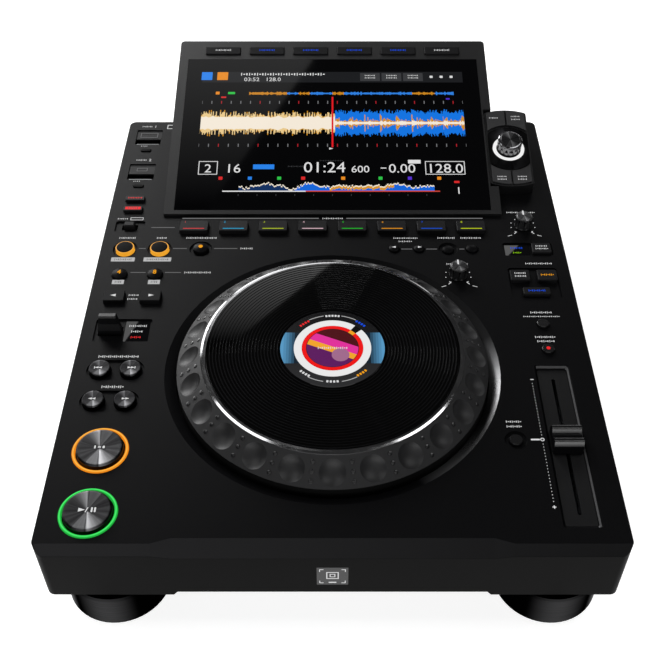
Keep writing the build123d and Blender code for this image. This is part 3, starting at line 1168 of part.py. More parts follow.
def tempo_fader_body():
    """The slide potentiometer's open-topped case under the panel."""
    high = PANEL_TOP - FADER_BOSS_DEPTH
    low = high - FADER_BODY[1]
    length = 2 * FADER_TRAVEL + 24
    case = slab((FADER_BODY[0], length), 0.6, low, high, RIGHT_X, FADER_Y)
    inside = (FADER_BODY[0] - 2 * FADER_SHELL, length - 2 * FADER_SHELL)
    case -= slab(inside, 0.3, low + FADER_SHELL, high - FADER_SHELL, RIGHT_X, FADER_Y)
    slot = (FADER_SLOT_WIDTH + 1, 2 * FADER_TRAVEL + FADER_BLADE[1] + 1.0)
    return case - slab(slot, 0.8, high - 2 * FADER_SHELL, high + 1, RIGHT_X, FADER_Y)


def tempo_knob():
    """The fader's saddle-shaped cap, its blade and the carriage inside the case."""
    low = FADER_PLATE_TOP + FADER_KNOB_RISE
    high = low + FADER_KNOB_HEIGHT
    half = FADER_KNOB[1] / 2
    section = make_face(Polyline(
        (-half, low), (half, low), (half - 0.5, high - 3.2), (half - 2.2, high), (half - 5.0, high),
        (1.3, high - 3.0), (-1.3, high - 3.0), (5.0 - half, high), (2.2 - half, high),
        (0.5 - half, high - 3.2), close=True,
    ))
    rounded = section.vertices().filter_by(lambda corner: corner.Y > low + 0.1)
    section = fillet(rounded, FADER_KNOB_ROUNDING)
    cap = extrude(Plane.YZ * section, FADER_KNOB[0] / 2, both=True)
    carriage_high = PANEL_TOP - FADER_BOSS_DEPTH - FADER_SHELL - SEAT_GAP
    blade_low = carriage_high - 2.0
    blade = Pos(0, 0, (low + blade_low) / 2) * Box(*FADER_BLADE, low - blade_low + 1)
    wide = FADER_BODY[0] - 2 * FADER_SHELL - 2 * SLIDE_GAP
    carriage = Pos(0, 0, carriage_high - 1.5) * Box(wide, 14, 3.0)
    return Pos(RIGHT_X, FADER_Y, 0) * (cap + blade + carriage)


# ---------------------------------------------------------------- windows and inner parts
def legend_windows():
    """The glossy windows: direction, jog mode and the touch point in the front."""
    low = PANEL_TOP - RECESS - WINDOW_THICKNESS
    high = PANEL_TOP - RECESS
    direction = slab(DIRECTION_WINDOW, 0.6, low, high, DIRECTION_WINDOW_X, DIRECTION_Y)
    mode = slab(JOG_MODE_WINDOW, 0.6, low, high, JOG_MODE_WINDOW_X, JOG_MODE_Y)
    pane = Box(TOUCH_WINDOW, WINDOW_THICKNESS, TOUCH_WINDOW)
    touch = Pos(0, FRONT_Y + WINDOW_THICKNESS / 2, TOUCH_WINDOW_Z) * pane
    return [direction, mode, touch]


def main_board():
    """The main circuit board on its four posts, with its processor's heat sink and connectors."""
    high = BOARD_Z + BOARD_THICKNESS
    board = slab(BOARD_SIZE, 2.0, BOARD_Z, high, BOARD_X, BOARD_Y)
    sink, thickness = SINK
    base = slab((sink, sink), 0.5, high, high + thickness, BOARD_X, BOARD_Y)
    fins = [
        Pos(BOARD_X + (i - (SINK_FINS - 1) / 2) * FIN_PITCH, BOARD_Y, high + thickness + FIN[1] / 2)
        * Box(FIN[0], sink, FIN[1])
        for i in range(SINK_FINS)
    ]
    connectors = [
        Pos(BOARD_X + side * CONNECTOR_X, BOARD_Y + CONNECTOR_Y, high + CONNECTOR[2] / 2) * Box(*CONNECTOR)
        for side in (-1, 1)
    ]
    return board + [base] + fins + connectors


def power_supply():
    """The switching supply: its board, transformer, capacitors and side bracket."""
    low = BODY_BOTTOM + SHEET
    width, length = SUPPLY_SIZE
    lift = low + ARCH_RISE + SUPPLY_BASE
    top = lift + SUPPLY_BASE / 2
    base = Pos(SUPPLY_X, SUPPLY_Y, lift) * Box(width, length, SUPPLY_BASE)
    foot_x = SUPPLY_X - (width - SUPPLY_FOOT) / 2
    foot = Pos(foot_x, SUPPLY_Y, (low + lift) / 2) * Box(SUPPLY_FOOT, length, lift - low)
    core = Pos(SUPPLY_X, SUPPLY_Y + TRANSFORMER_Y, top + TRANSFORMER[2] / 2) * Box(*TRANSFORMER)
    cans = [
        Pos(SUPPLY_X + side * CAPACITOR_X, SUPPLY_Y + CAPACITOR_Y, top + CAPACITOR[1] / 2)
        * Cylinder(*CAPACITOR)
        for side in (-1, 1)
    ]
    return base + [foot, core] + cans


# ---------------------------------------------------------------- the assembly
def assembly():
    """Every node by name, each a solid or a list of separate solids."""
    nodes = {
        "top_panel": top_panel(),
        "bottom_chassis": bottom_chassis(),
        "feet": [foot(x, y) for x, y in FEET],
        "foot_pads": [foot_pad(x, y) for x, y in FEET],
        "display_housing": display_housing(),
        "display_glass": display_glass(),
        "lcd_module": lcd_module(),
        "jog_spindle": jog_spindle(),
        "jog_bearing": jog_bearing(),
        "jog_display": jog_display(),
        "light_rings": light_rings(),
        "selector_pod": selector_pod(),
        "tempo_slot_plate": tempo_slot_plate(),
        "tempo_fader_body": tempo_fader_body(),
        "usb_sockets": usb_sockets(),
        "legend_windows": legend_windows(),
        "main_board": main_board(),
        "power_supply": power_supply(),
        "rear_sockets": rear_sockets(),
        "jog_wheel": jog_wheel(),
        "jog_trim_ring": jog_trim_ring(),
        "jog_platter": jog_platter(),
        "tempo_knob": tempo_knob(),
        "direction_lever": direction_lever(),
        "hot_cue_mode_lever": hot_cue_mode_lever(),
        "selector_shaft": selector_shaft(),
        "selector_knob": selector_knob(),
        "vinyl_speed_knob": turn_knob(*VINYL_SPEED),
        "jog_adjust_knob": turn_knob(*JOG_ADJUST),
        "cue_button": big_button(CUE_Y),
        "play_button": big_button(PLAY_Y),
        "power_switch": power_switch(),
        "loop_in_button": looping_button(LEFT_X, LOOP_Y),
        "loop_out_button": looping_button(SECOND_X, LOOP_Y),
        "reloop_button": button(SMALL_ROUND_RADIUS, RELOOP_X, LOOP_Y, 2.6, dome=1.0),
        "beat_loop_4_button": button(SMALL_ROUND_RADIUS, LEFT_X, BEAT_LOOP_Y, 2.6, dome=1.0),
        "beat_loop_8_button": button(SMALL_ROUND_RADIUS, SECOND_X, BEAT_LOOP_Y, 2.6, dome=1.0),
        "beat_jump_back_key": key(BEAT_JUMP_KEY, LEFT_X, BEAT_JUMP_Y),
        "beat_jump_forward_key": key(BEAT_JUMP_KEY, SECOND_X, BEAT_JUMP_Y),
        "track_back_button": stadium_cap(STADIUM_X[0], TRACK_Y),
        "track_forward_button": stadium_cap(STADIUM_X[1], TRACK_Y),
        "search_back_button": stadium_cap(STADIUM_X[0], SEARCH_Y),
        "search_forward_button": stadium_cap(STADIUM_X[1], SEARCH_Y),
        "usb_flap_1": usb_flap(USB_Y[0]),
        "usb_flap_2": usb_flap(USB_Y[1]),
        "usb_stop_keys": [key(USB_STOP_KEY, LEFT_X, y + USB_STOP_OFFSET, proud=0.8) for y in USB_Y],
        "quantize_and_slip_keys": [key(SLIM_KEY, LEFT_X, y, proud=2.2) for y in (QUANTIZE_Y, SLIP_Y)],
        "menu_keys": [menu_key(x) for x in MENU_X],
        "selector_pod_keys": selector_pod_keys(),
        "sync_and_mode_keys": (
            [key(SYNC_KEY, x, SYNC_KEY_Y, proud=2.0) for x in SYNC_X]
            + [key(KEY_SYNC_KEY, RIGHT_X, KEY_SYNC_Y, proud=2.0)]
            + [key(JOG_MODE_KEY, JOG_MODE_KEY_X, JOG_MODE_Y, proud=1.6)]
        ),
        "tempo_buttons": (
            [button(TEMPO_BUTTON_RADIUS, RIGHT_X, y, 2.0) for y in (TEMPO_RANGE_Y, MASTER_TEMPO_Y)]
            + [button(TEMPO_BUTTON_RADIUS, TEMPO_RESET_X, TEMPO_RESET_Y, 1.0)]
        ),
        "memory_buttons": (
            [button(CALL_RADIUS, x, MEMORY_ROW_Y, 2.0, dome=0.8) for x in CALL_X]
            + [button(DELETE_RADIUS, DELETE_X, MEMORY_ROW_Y, 0.6, dome=0.6)]
            + [button(MEMORY_RADIUS, MEMORY_X, MEMORY_ROW_Y, 2.0, dome=0.8)]
        ),
    }
    for i, x in enumerate(HOT_CUE_X):
        nodes[f"hot_cue_key_{i + 1}"] = key(HOT_CUE_KEY, x, HOT_CUE_Y)
    return nodes


os.makedirs("parts", exist_ok=True)
for name, piece in assembly().items():
    solids = piece if isinstance(piece, list) else [piece]
    solids = [solid for shape in solids for solid in shape.solids()]
    whole = solids[0] if len(solids) == 1 else Compound(children=solids)
    whole.label = name
    export_step(whole, os.path.join("parts", name + ".step"))
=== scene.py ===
from math import atan2, cos, degrees, pi, radians, sin, tau

import bpy
from mathutils import Matrix, Vector


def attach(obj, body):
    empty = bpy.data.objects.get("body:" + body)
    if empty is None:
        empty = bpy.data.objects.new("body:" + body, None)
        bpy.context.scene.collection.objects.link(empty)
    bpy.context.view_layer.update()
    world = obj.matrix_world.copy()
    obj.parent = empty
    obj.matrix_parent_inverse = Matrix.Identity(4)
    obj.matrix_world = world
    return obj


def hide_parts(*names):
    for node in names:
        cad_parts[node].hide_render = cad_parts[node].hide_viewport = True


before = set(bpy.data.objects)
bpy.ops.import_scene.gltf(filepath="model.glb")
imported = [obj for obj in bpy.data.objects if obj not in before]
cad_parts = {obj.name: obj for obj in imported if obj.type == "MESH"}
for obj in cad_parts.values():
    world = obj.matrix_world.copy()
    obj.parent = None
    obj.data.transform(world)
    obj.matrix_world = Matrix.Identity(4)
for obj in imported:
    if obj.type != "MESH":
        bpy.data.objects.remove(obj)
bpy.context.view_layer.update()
mm = 0.001


# Base pan: folded sheet steel with a black powder coat, slightly orange
# peeled. It closes the case from below, held by screws along its edges.
def shade(code):
    """The linear colour of a six-digit shade."""
    parts = [int(code[i : i + 2], 16) / 255 for i in (0, 2, 4)]
    return (*[p / 12.92 if p < 0.04 else ((p + 0.055) / 1.055) ** 2.4 for p in parts], 1.0)


def sign(operation, swapped=False):
    """A Wire's operator: it adds one Math node."""

    def work(self, other=0.0):
        return self.finish.maths(operation, *((other, self) if swapped else (self, other)))

    return work


class Wire:
    """An output socket that adds, multiplies and compares like a number."""

    def __init__(self, finish, socket):
        self.finish, self.socket = finish, socket

    __add__ = __radd__ = sign("ADD")
    __mul__ = __rmul__ = sign("MULTIPLY")
    __sub__, __rsub__ = sign("SUBTRACT"), sign("SUBTRACT", True)
    __truediv__, __rtruediv__ = sign("DIVIDE"), sign("DIVIDE", True)
    __lt__, __gt__ = sign("LESS_THAN"), sign("GREATER_THAN")
    __mod__, __abs__ = sign("FLOORED_MODULO"), sign("ABSOLUTE")


class Finish:
    """One material, made node by node around its Principled shader."""

    def __init__(self, name, **values):
        self.material = bpy.data.materials.new(name)
        self.material.use_nodes = True
        self.tree = self.material.node_tree
        self.shader = self.tree.nodes["Principled BSDF"]
        self.set(values)

    def set(self, values):
        self.feed(self.shader, {key.replace("_", " "): value for key, value in values.items()})

    def paint(self, colour):
        self.set({"Base Color": colour})

    def glow(self, colour):
        self.set({"Emission Color": colour})

    def feed(self, target, values):
        for key, value in values.items():
            if isinstance(value, Wire):
                self.tree.links.new(value.socket, target.inputs[key])
            else:
                target.inputs[key].default_value = shade(value) if isinstance(value, str) else value

    def node(self, kind, settings, values, output=0):
        made = self.tree.nodes.new("ShaderNode" + kind)
        stops = settings.pop("stops", None)
        for key, value in settings.items():
            setattr(made, key, value)
        if stops:
            made.color_ramp.interpolation = "CONSTANT"
            for spot, colour in stops:
                made.color_ramp.elements.new(spot).color = colour
        self.feed(made, values)
        return Wire(self, made.outputs[output])

    def maths(self, operation, *values):
        return self.node("Math", {"operation": operation}, dict(enumerate(values)))

    def vector(self, operation, *values, output=0):
        return self.node("VectorMath", {"operation": operation}, dict(enumerate(values)), output)

    def mix(self, factor, low, high):
        return self.node("Mix", {"data_type": "RGBA"}, {0: factor, 6: low, 7: high}, 2)

    def layers(self, under, *over):
        for mask, tone in over:
            under = self.mix(mask, under, tone)
        return under

    def place(self):
        return self.node("TexCoord", {}, {}, "Object")

    def axes(self):
        where = self.place()
        return [self.node("SeparateXYZ", {}, {"Vector": where}, axis) for axis in "XYZ"]

    def noise(self, pitch, detail=2.0, stretch=(1, 1, 1)):
        where = self.node("Mapping", {}, {"Vector": self.place(), "Scale": stretch})
        values = {"Vector": where, "Scale": 1 / (pitch * mm), "Detail": detail}
        return self.node("TexNoise", {}, values, "Fac")

    def relief(self, height, depth):
        bump = {"Height": height, "Distance": depth * mm, "Strength": 1.0}
        self.set({"Normal": self.node("Bump", {}, bump)})


def moulded(name, dark, light, roughness, pitch, depth, gloss=0.3):
    """A surface with a fine sparked or coated skin."""
    finish = Finish(name, Specular_IOR_Level=gloss)
    skin, drift = finish.noise(pitch, 3), finish.noise(40)
    finish.paint(finish.mix(skin * 0.7 + drift * 0.3, dark, light))
    finish.set({"Roughness": roughness + 0.12 * (skin - 0.5) + 0.08 * (drift - 0.5)})
    finish.relief(skin, depth)
    return finish


def dress(finish, *names):
    """Gives CAD nodes their finish."""
    for name in names:
        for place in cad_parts[name].material_slots:
            place.material = finish.material


dress(moulded("pan_powder_coat", "0a0a0b", "131314", 0.55, 1.2, 0.05, 0.2), "bottom_chassis")


# Feet and pads: aluminium turned on a lathe and anodised black, each with a
# soft rubber pad glued under it. The tool left fine rings round the flank. A sheen
# is painted in towards the outside and a little at the front, and painted shade keeps the top black.
FOOT_X, FRONT_FOOT_Y, REAR_FOOT_Y = 130.0, -197.5, 143.2
FOOT_FLANK_TOP = 26.3
RING_PITCH, ALONG_RINGS = 0.6, (0.02, 0.02, 1)


def hump(finish, value, middle, spread):
    """1 at the middle, falling to 0 at spread to either side."""
    away = (value - middle) / spread
    return finish.maths("MAXIMUM", 1 - away * away, 0.0)


foot = Finish("foot_anodised", Specular_IOR_Level=0.0)
x, y, z = foot.axes()
rings = foot.noise(RING_PITCH, 4, ALONG_RINGS)
outward = abs(x) - FOOT_X * mm
forward = FRONT_FOOT_Y * mm - y + (y > 0) * ((REAR_FOOT_Y - FRONT_FOOT_Y) * mm)
bearing = foot.maths("ARCTAN2", outward, forward)
side, front = hump(foot, bearing, 1.3, 0.6), hump(foot, bearing, 0.08, 0.62)
# Painted highlight: bands of sheen by bearing round each foot; painted shade: black above the flank's top.
painted_sheen = (side * side + 0.14 * front * front) * (z < FOOT_FLANK_TOP * mm)
painted_sheen = painted_sheen * (0.6 + 0.8 * rings)
foot.paint(foot.mix(painted_sheen, "010101", "8c8c8e"))
foot.set({"Roughness": 0.36 + 0.15 * (rings - 0.5)})
foot.relief(rings, 0.03)
dress(foot, "feet")
dress(moulded("pad_rubber_black", "0c0c0c", "161616", 0.8, 0.8, 0.05), "foot_pads")


# Inner works: circuit boards with their parts, the ball bearing of the wheel
# and its hollow post, the back of the screen and the case of the fader.
MAIN_BOARD_TOP, SUPPLY_BOARD_TOP = 44.2, 37.0


def board(name, laminate, parts, top):
    """Lacquered laminate with printed tracks, darker parts standing on it."""
    finish = Finish(name, Roughness=0.4)
    z = finish.axes()[2]
    tracks = (finish.noise(5, 0, (0.2, 1, 1)) > 0.55) * 0.5
    lacquer = finish.mix(tracks, laminate, "7fae7a")
    finish.paint(finish.mix(z > top * mm, lacquer, parts))
    finish.relief(finish.noise(2), 0.05)
    return finish


def metal(name, dark, light, roughness, pitch, depth):
    """Bare metal with the marks of its tool."""
    finish = Finish(name, Metallic=1.0)
    marks = finish.noise(pitch, 4)
    finish.paint(finish.mix(marks, dark, light))
    finish.set({"Roughness": roughness + 0.15 * (marks - 0.5)})
    finish.relief(marks, depth)
    return finish


dress(board("board_green", "123f22", "2a2b2d", MAIN_BOARD_TOP), "main_board")
dress(board("supply_board", "5a4a22", "b08a2c", SUPPLY_BOARD_TOP), "power_supply")
works_steel = metal("works_steel", "6d6e70", "a5a6a8", 0.3, 2, 0.02)
dress(works_steel, "jog_bearing", "selector_shaft", "usb_sockets")
works_zinc = metal("works_zinc", "55575a", "808286", 0.42, 3, 0.02)
dress(works_zinc, "jog_spindle", "lcd_module", "tempo_fader_body")


# Rear sockets and power switch: black nylon inlet, tinned network shell and
# nickel jacks on the rear wall. The screws of the case are black steel.
NYLON_LIMIT = 10.0
REAR_WALL_Y, PAN_UNDERSIDE = 174.6, 31.3
SCREW_HEAD, SCREW_HEIGHT = 2.6, 1.2

rear_parts = Finish("socket_nickel_and_nylon")
tinned = rear_parts.axes()[0] > NYLON_LIMIT * mm
wear = rear_parts.noise(3, 3)
rear_parts.set({"Metallic": tinned, "Roughness": 0.5 - 0.2 * tinned + 0.1 * wear})
rear_parts.paint(rear_parts.mix(tinned, "131314", "a8a9ab"))
dress(rear_parts, "rear_sockets")
dress(moulded("switch_nylon", "0d0d0e", "181819", 0.4, 0.6, 0.02), "power_switch")


def pick(pieces):
    """Selects these pieces alone, the first one active."""
    bpy.ops.object.select_all(action="DESELECT")
    for each in pieces:
        each.select_set(True)
    bpy.context.view_layer.objects.active = pieces[0]


def primitive(kind, **settings):
    """Adds a primitive, as by hand, and returns it."""
    getattr(bpy.ops.mesh, f"primitive_{kind}_add")(**settings)
    return bpy.context.object


def edit(piece, *steps, faces=None, edges=None):
    """Selects faces or edges by place, then runs each edit-mode operator on them."""
    pick([piece])
    bpy.ops.object.mode_set(mode="EDIT")
    bpy.ops.mesh.select_mode(type="EDGE" if edges else "FACE" if faces else "VERT")
    bpy.ops.mesh.select_all(action="DESELECT" if faces or edges else "SELECT")
    if faces or edges:
        bpy.ops.object.mode_set(mode="OBJECT")
        corner = piece.data.vertices
        for face in piece.data.polygons if faces else ():
            face.select = bool(faces(face.center, face.normal))
        for edge in piece.data.edges if edges else ():
            edge.select = bool(edges(*[corner[i].co for i in edge.vertices]))
        bpy.ops.object.mode_set(mode="EDIT")
    for step, settings in steps:
        step(**settings)
    bpy.ops.object.mode_set(mode="OBJECT")


def eased(offset, segments):
    """The step that rounds the chosen edges."""
    return bpy.ops.mesh.bevel, {"offset": offset, "segments": segments, "affect": "EDGES"}


def joined(pieces):
    """Puts every piece's place into its mesh and makes them one."""
    pick(pieces)
    bpy.ops.object.transform_apply(location=True, rotation=True, scale=True)
    if len(pieces) > 1:
        bpy.ops.object.join()
    return bpy.context.object


def copies(master, spots):
    """One copy of the master, with its own mesh, at each place and turn."""
    made = []
    for place, turn in spots:
        each = master.copy()
        each.data = master.data.copy()
        bpy.context.collection.objects.link(each)
        each.location, each.rotation_euler = Vector(place) * mm, turn
        made.append(each)
    bpy.data.objects.remove(master)
    return made


def fit(pieces, name, body, finish, angle=35):
    """Joins finished pieces into one, names it, shades it and fixes it to its body."""
    piece = joined(pieces)
    piece.name = piece.data.name = name
    piece.data.materials.clear()
    piece.data.materials.append(finish.material)
    bpy.ops.object.shade_smooth_by_angle(angle=radians(angle))
    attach(piece, body)


def screw(head, height):
    """A pan head with a cross recess, standing on its seat at z 0."""
    made = primitive("cylinder", vertices=32, radius=head, depth=height, location=(0, 0, height / 2))
    joined([made])
    edit(
        made,
        (bpy.ops.mesh.inset, {"thickness": 0.25 * head}),
        (bpy.ops.transform.translate, {"value": (0, 0, 0.25 * height)}),
        (bpy.ops.mesh.inset, {"thickness": 0.3 * head}),
        faces=lambda centre, normal: normal.z > 0.9,
    )
    for turn in (0, pi / 2):
        cutter = primitive("cube", size=1, location=(0, 0, 1.1 * height), rotation=(0, 0, turn))
        cutter.scale = (1.1 * head, 0.24 * head, height)
        cut = made.modifiers.new("recess", "BOOLEAN")
        cut.operation, cut.object = "DIFFERENCE", cutter
        bpy.context.view_layer.objects.active = made
        bpy.ops.object.modifier_apply(modifier=cut.name)
        bpy.data.objects.remove(cutter)
    return made


screw_steel = metal("screw_black_oxide", "1b1b1c", "3a3a3b", 0.35, 1, 0.02)
backwards, downwards = (-pi / 2, 0, 0), (pi, 0, 0)
on_wall = [((x, REAR_WALL_Y, z), backwards) for x in (-150, -50, 50, 150) for z in (38, 70)]
on_pan = [((x, y, PAN_UNDERSIDE), downwards) for x in (-150, -98, 98, 150) for y in (-150, -80, 0, 80)]
for name, spots in (("rear_case_screws", on_wall), ("pan_screws", on_pan)):
    screws = copies(screw(SCREW_HEAD * mm, SCREW_HEIGHT * mm), spots)
    fit(screws, name, "player_body", screw_steel)


# Top cover: one large moulding in black ABS with a fine sparked skin. A highlight
# is painted on the bevel round the wheel's well, which is metallic and glossier there,
# highlights on the lips of the fader's recess, light on the front chamfer fading to the right, and shade on
# the front face.
PANEL_TOP, JOG_Y = 79.0, -92.8
BELOW_TOP = PANEL_TOP - 0.05
FADER_X, FADER_Y = 138.6, -153.1
FRONT_FACE, CHAMFER_BACK, CHAMFER_LOW = -227.4, -220.5, 68.8
WELL_INSIDE, WELL_OUTSIDE, WELL_LOW = 98.4, 106.2, 74.8


def between(value, low, high):
    """1 inside the band, 0 outside it."""
    return (value > low * mm) * (value < high * mm)


cover = Finish("cover_plastic", Specular_IOR_Level=0.032)
x, y, z = cover.axes()
skin = cover.noise(0.55, 3)
cover.relief(skin, 0.03)
chamfer = between(x, -163, 163) * between(y, FRONT_FACE, CHAMFER_BACK) * between(z, CHAMFER_LOW, BELOW_TOP)
# Masks of the fader recess's lips, where highlights are painted.
side_lip = between(x, FADER_X + 8.8, FADER_X + 11.2) * between(y, FADER_Y - 60.6, FADER_Y + 60.6)
rear_lip = between(x, FADER_X - 9.6, FADER_X + 9.6) * between(y, FADER_Y + 59.1, FADER_Y + 61.5)
painted_lip_highlights = side_lip * between(z, 77.2, 78.3) + rear_lip * between(z, 77.6, 78.6)
dy = y - JOG_Y * mm
from_axis = cover.maths("SQRT", x * x + dy * dy)
bevel = between(from_axis, WELL_INSIDE, WELL_OUTSIDE) * between(z, WELL_LOW, BELOW_TOP)
# Painted highlight: a crescent on the well's bevel, placed by bearing round the wheel's axis.
painted_bevel_highlight = bevel * hump(cover, cover.maths("ARCTAN2", dy, x), -0.4, 0.66)
tone = cover.layers(
    cover.mix(skin, "040405", "0b0b0c"),
    # painted shade on the front face
    (y < FRONT_FACE * mm, "010101"),
    # painted light on the front chamfer, lighter to the left
    (chamfer, cover.mix(0.5 - x / (300 * mm), "0c0c0d", "1d1d1e")),
    # painted highlights on the lips of the fader's recess
    (painted_lip_highlights, "4a4a4b"),
    # painted highlight on the well's bevel
    (painted_bevel_highlight, "5a5a5b"),
)
cover.set({"Base Color": tone, "Metallic": painted_bevel_highlight, "Roughness": 0.38 + 0.12 * skin - 0.2 * painted_bevel_highlight})
dress(cover, "top_panel")


# Printed lines and ticks of the cover, pad printed in light and darker grey
# ink. Short dashes fill the places of words. The inks of the other pieces and
# what draws them are made here too. All but the dark ink glow, which on print is painted light.
INK = 0.06
ink_colours = {
    "white": "e0e0e1", "box": "bababb", "grey": "767677", "amber": "f8a410",
    "red": "f0282c", "blue": "1450e6", "green": "8cc80a",
}


def lit_plastic(name, base, roughness, gloss):
    """A piece that shines by itself: a light guide or screen, or an ink given a painted glow."""
    values = {"Roughness": roughness, "Specular_IOR_Level": gloss, "Emission_Strength": 1.0}
    return Finish(name, Base_Color=base, **values)


def bright(finish, pitch, code, dimmed):
    """Lights a finish in one colour, dimmed a little in fine specks."""
    dim = tuple(dimmed * part for part in shade(code))
    finish.glow(finish.mix(finish.noise(pitch, 1), code, dim))
    return finish


# Painted light: these inks glow; on plain print, which has no lamp, the glow is painted, while the spots and
# window words that use them are lit from inside.
inks = {}
for colour, code in ink_colours.items():
    inks[colour] = bright(lit_plastic("ink_" + colour, "030303", 0.5, 0.02), 0.25, code, 0.9)
white_ink = inks["white"]


def bar(x, y, width, depth, z=PANEL_TOP, height=INK, turn=0.0):
    """A thin printed bar with eased corners, centred on x and y and standing on z."""
    made = primitive("cube", size=1, location=(x * mm, y * mm, (z + height / 2) * mm))
    made.scale = (width * mm, depth * mm, height * mm)
    joined([made])
    corner = min(0.3 * min(width, depth), 0.35) * mm
    edit(made, eased(corner, 2), edges=lambda a, b: abs(a.z - b.z) > 0.5 * height * mm)
    if turn:
        made.data.transform(turned_about(x, y, turn))
    return made


def turned_about(x, y, turn):
    """The turn, in degrees, about a standing line through x and y."""
    centre = Matrix.Translation((x * mm, y * mm, 0))
    return centre @ Matrix.Rotation(radians(turn), 4, "Z") @ centre.inverted()


def dashes(x0, x1, y, height=1.5, z=PANEL_TOP, step=1.25):
    """A row of plain ticks and short dashes, where the real one has words."""
    count = max(2, round((x1 - x0) / step))
    pitch = (x1 - x0) / count
    made = []
    for i in range(count):
        width, depth = ((0.34, 1.0), (0.72, 0.34), (0.5, 0.8))[i % 3]
        made.append(bar(x0 + pitch * (i + 0.5), y, pitch * width, height * depth, z))
    return made


def dashed(rows, *same):
    """Rows of dashes, each with its own ends and place."""
    return [each for row in rows for each in dashes(*row, *same)]


merge = (bpy.ops.mesh.remove_doubles, {"threshold": 0.001 * mm})


def numeral(words, size, x, y, z=PANEL_TOP, height=INK):
    """Plain figures, centred on x and y."""
    bpy.ops.object.text_add()
    made = bpy.context.object
    made.data.body, made.data.size, made.data.extrude = words, size * mm, height / 2 * mm
    made.data.align_x, made.data.align_y, made.data.resolution_u = "CENTER", "CENTER", 3
    pick([made])
    bpy.ops.object.convert(target="MESH")
    edit(made, merge)
    made.location = (x * mm, y * mm, (z + height / 2) * mm)
    return joined([made])


def arrow(x, y, size, pointing=1, z=PANEL_TOP, height=INK):
    """A plain triangle that points right, or left at -1."""
    turn = 0 if pointing > 0 else pi
    made = primitive("cylinder", vertices=3, radius=size * mm, depth=height * mm)
    made.rotation_euler = (0, 0, turn - pi / 2)
    joined([made])
    made.scale = (1.25, 0.75, 1)
    made.location = (x * mm, y * mm, (z + height / 2) * mm)
    return joined([made])


def outline(x, y, width, depth, line, z=PANEL_TOP, height=INK):
    """A frame of four bars."""
    sides = [bar(x, y + side * (depth - line) / 2, width, line, z, height) for side in (-1, 1)]
    return sides + [bar(x + side * (width - line) / 2, y, line, depth, z, height) for side in (-1, 1)]


def printed(row, name, ink):
    """Fixes a row of marks to the case."""
    fit(row, name, "player_body", ink)


print_lines = [bar(-60, 54.1, 100, 0.9), bar(60, 54.1, 100, 0.9), bar(-123, 43.7, 17, 0.6)]
for x0, x1, y in (
    (-137.5, -132.5, 20.5), (-113.3, -103.4, 20.5), (-84.2, -67.5, 20.5), (-140, -129.6, -4.8),
    (-116.1, -105, -4.8), (48.8, 56.6, 19.9), (66.4, 74.2, 19.9), (90, 93.6, 19.9),
):
    print_lines.append(bar((x0 + x1) / 2, y, x1 - x0, 0.55))
printed(print_lines, "cover_print_lines", inks["grey"])

print_row = dashed((
    (-7.7, 7.7, 54, 1.7), (-153.3, -141.1, 32, 2), (-126.4, -118.9, 32, 2), (-105.2, -83, 32, 2),
    (-65.7, -56.5, 20.5, 2), (-103, -84.2, -4.8, 2), (-149.9, -123.7, -84.6, 2.2),
    (-144, -129.7, -110.4, 2.2), (43.4, 61.3, 31.8, 1.6), (47, 57, 28.2, 1.6), (75, 87.9, 32, 1.8),
    (91.5, 106.6, 32, 1.8), (127.9, 149.3, 60.9, 1.6), (79.3, 94.7, 4, 1.6),
    (134.5, 153.5, 4.5, 1.8), (131.5, 146.2, -44.4, 1.9), (126.4, 150.9, -48.2, 1.2),
    (131.5, 145.2, -67.2, 1.8), (132.5, 144.2, -71, 1.8), (104.2, 113.8, -138.4, 1.7),
    (104.2, 113.8, -142.1, 1.7), (-138.4, -131.2, -27.6, 1.7), (-138.8, -131.6, -31.4, 1.7),
    (-152.2, -146.6, 144.2, 1.1), (-152.2, -146.6, 98.6, 1.1), (-157.6, -149.6, 53.6, 1.5),
))
for x, y, figure in ((-148.4, 170.8, "1"), (-147.4, 125.4, "2")):
    print_row += [numeral(figure, 4.2, x + 5, y), *dashes(x - 6, x + 2.4, y + 0.2, 1.8)]
print_row += outline(-143.2, 53.6, 9.4, 3, 0.4) + outline(-131.2, 170.6, 5.5, 5.6, 0.7)
printed(print_row, "cover_print", white_ink)

BOX_DEPTH, BOX_TICKS = 4.2, 1.9
cover_ink = moulded("ink_dark", "1b1c1d", "262728", 0.5, 0.4, 0.01)
print_boxes, box_ticks = [], []
for x, y, width, filled in (
    (-147.2, 8.8, 16.6, 12.6), (-123, 8.8, 19.4, 15.6), (-147.3, -14.5, 8.2, 5), (-122.6, -14.5, 8.2, 5),
):
    print_boxes.append(bar(x, y, width, BOX_DEPTH))
    box_ticks += dashes(x - filled / 2, x + filled / 2, y, BOX_TICKS, PANEL_TOP + INK)
printed(print_boxes, "cover_print_boxes", inks["box"])
printed(box_ticks, "cover_print_box_ticks", cover_ink)


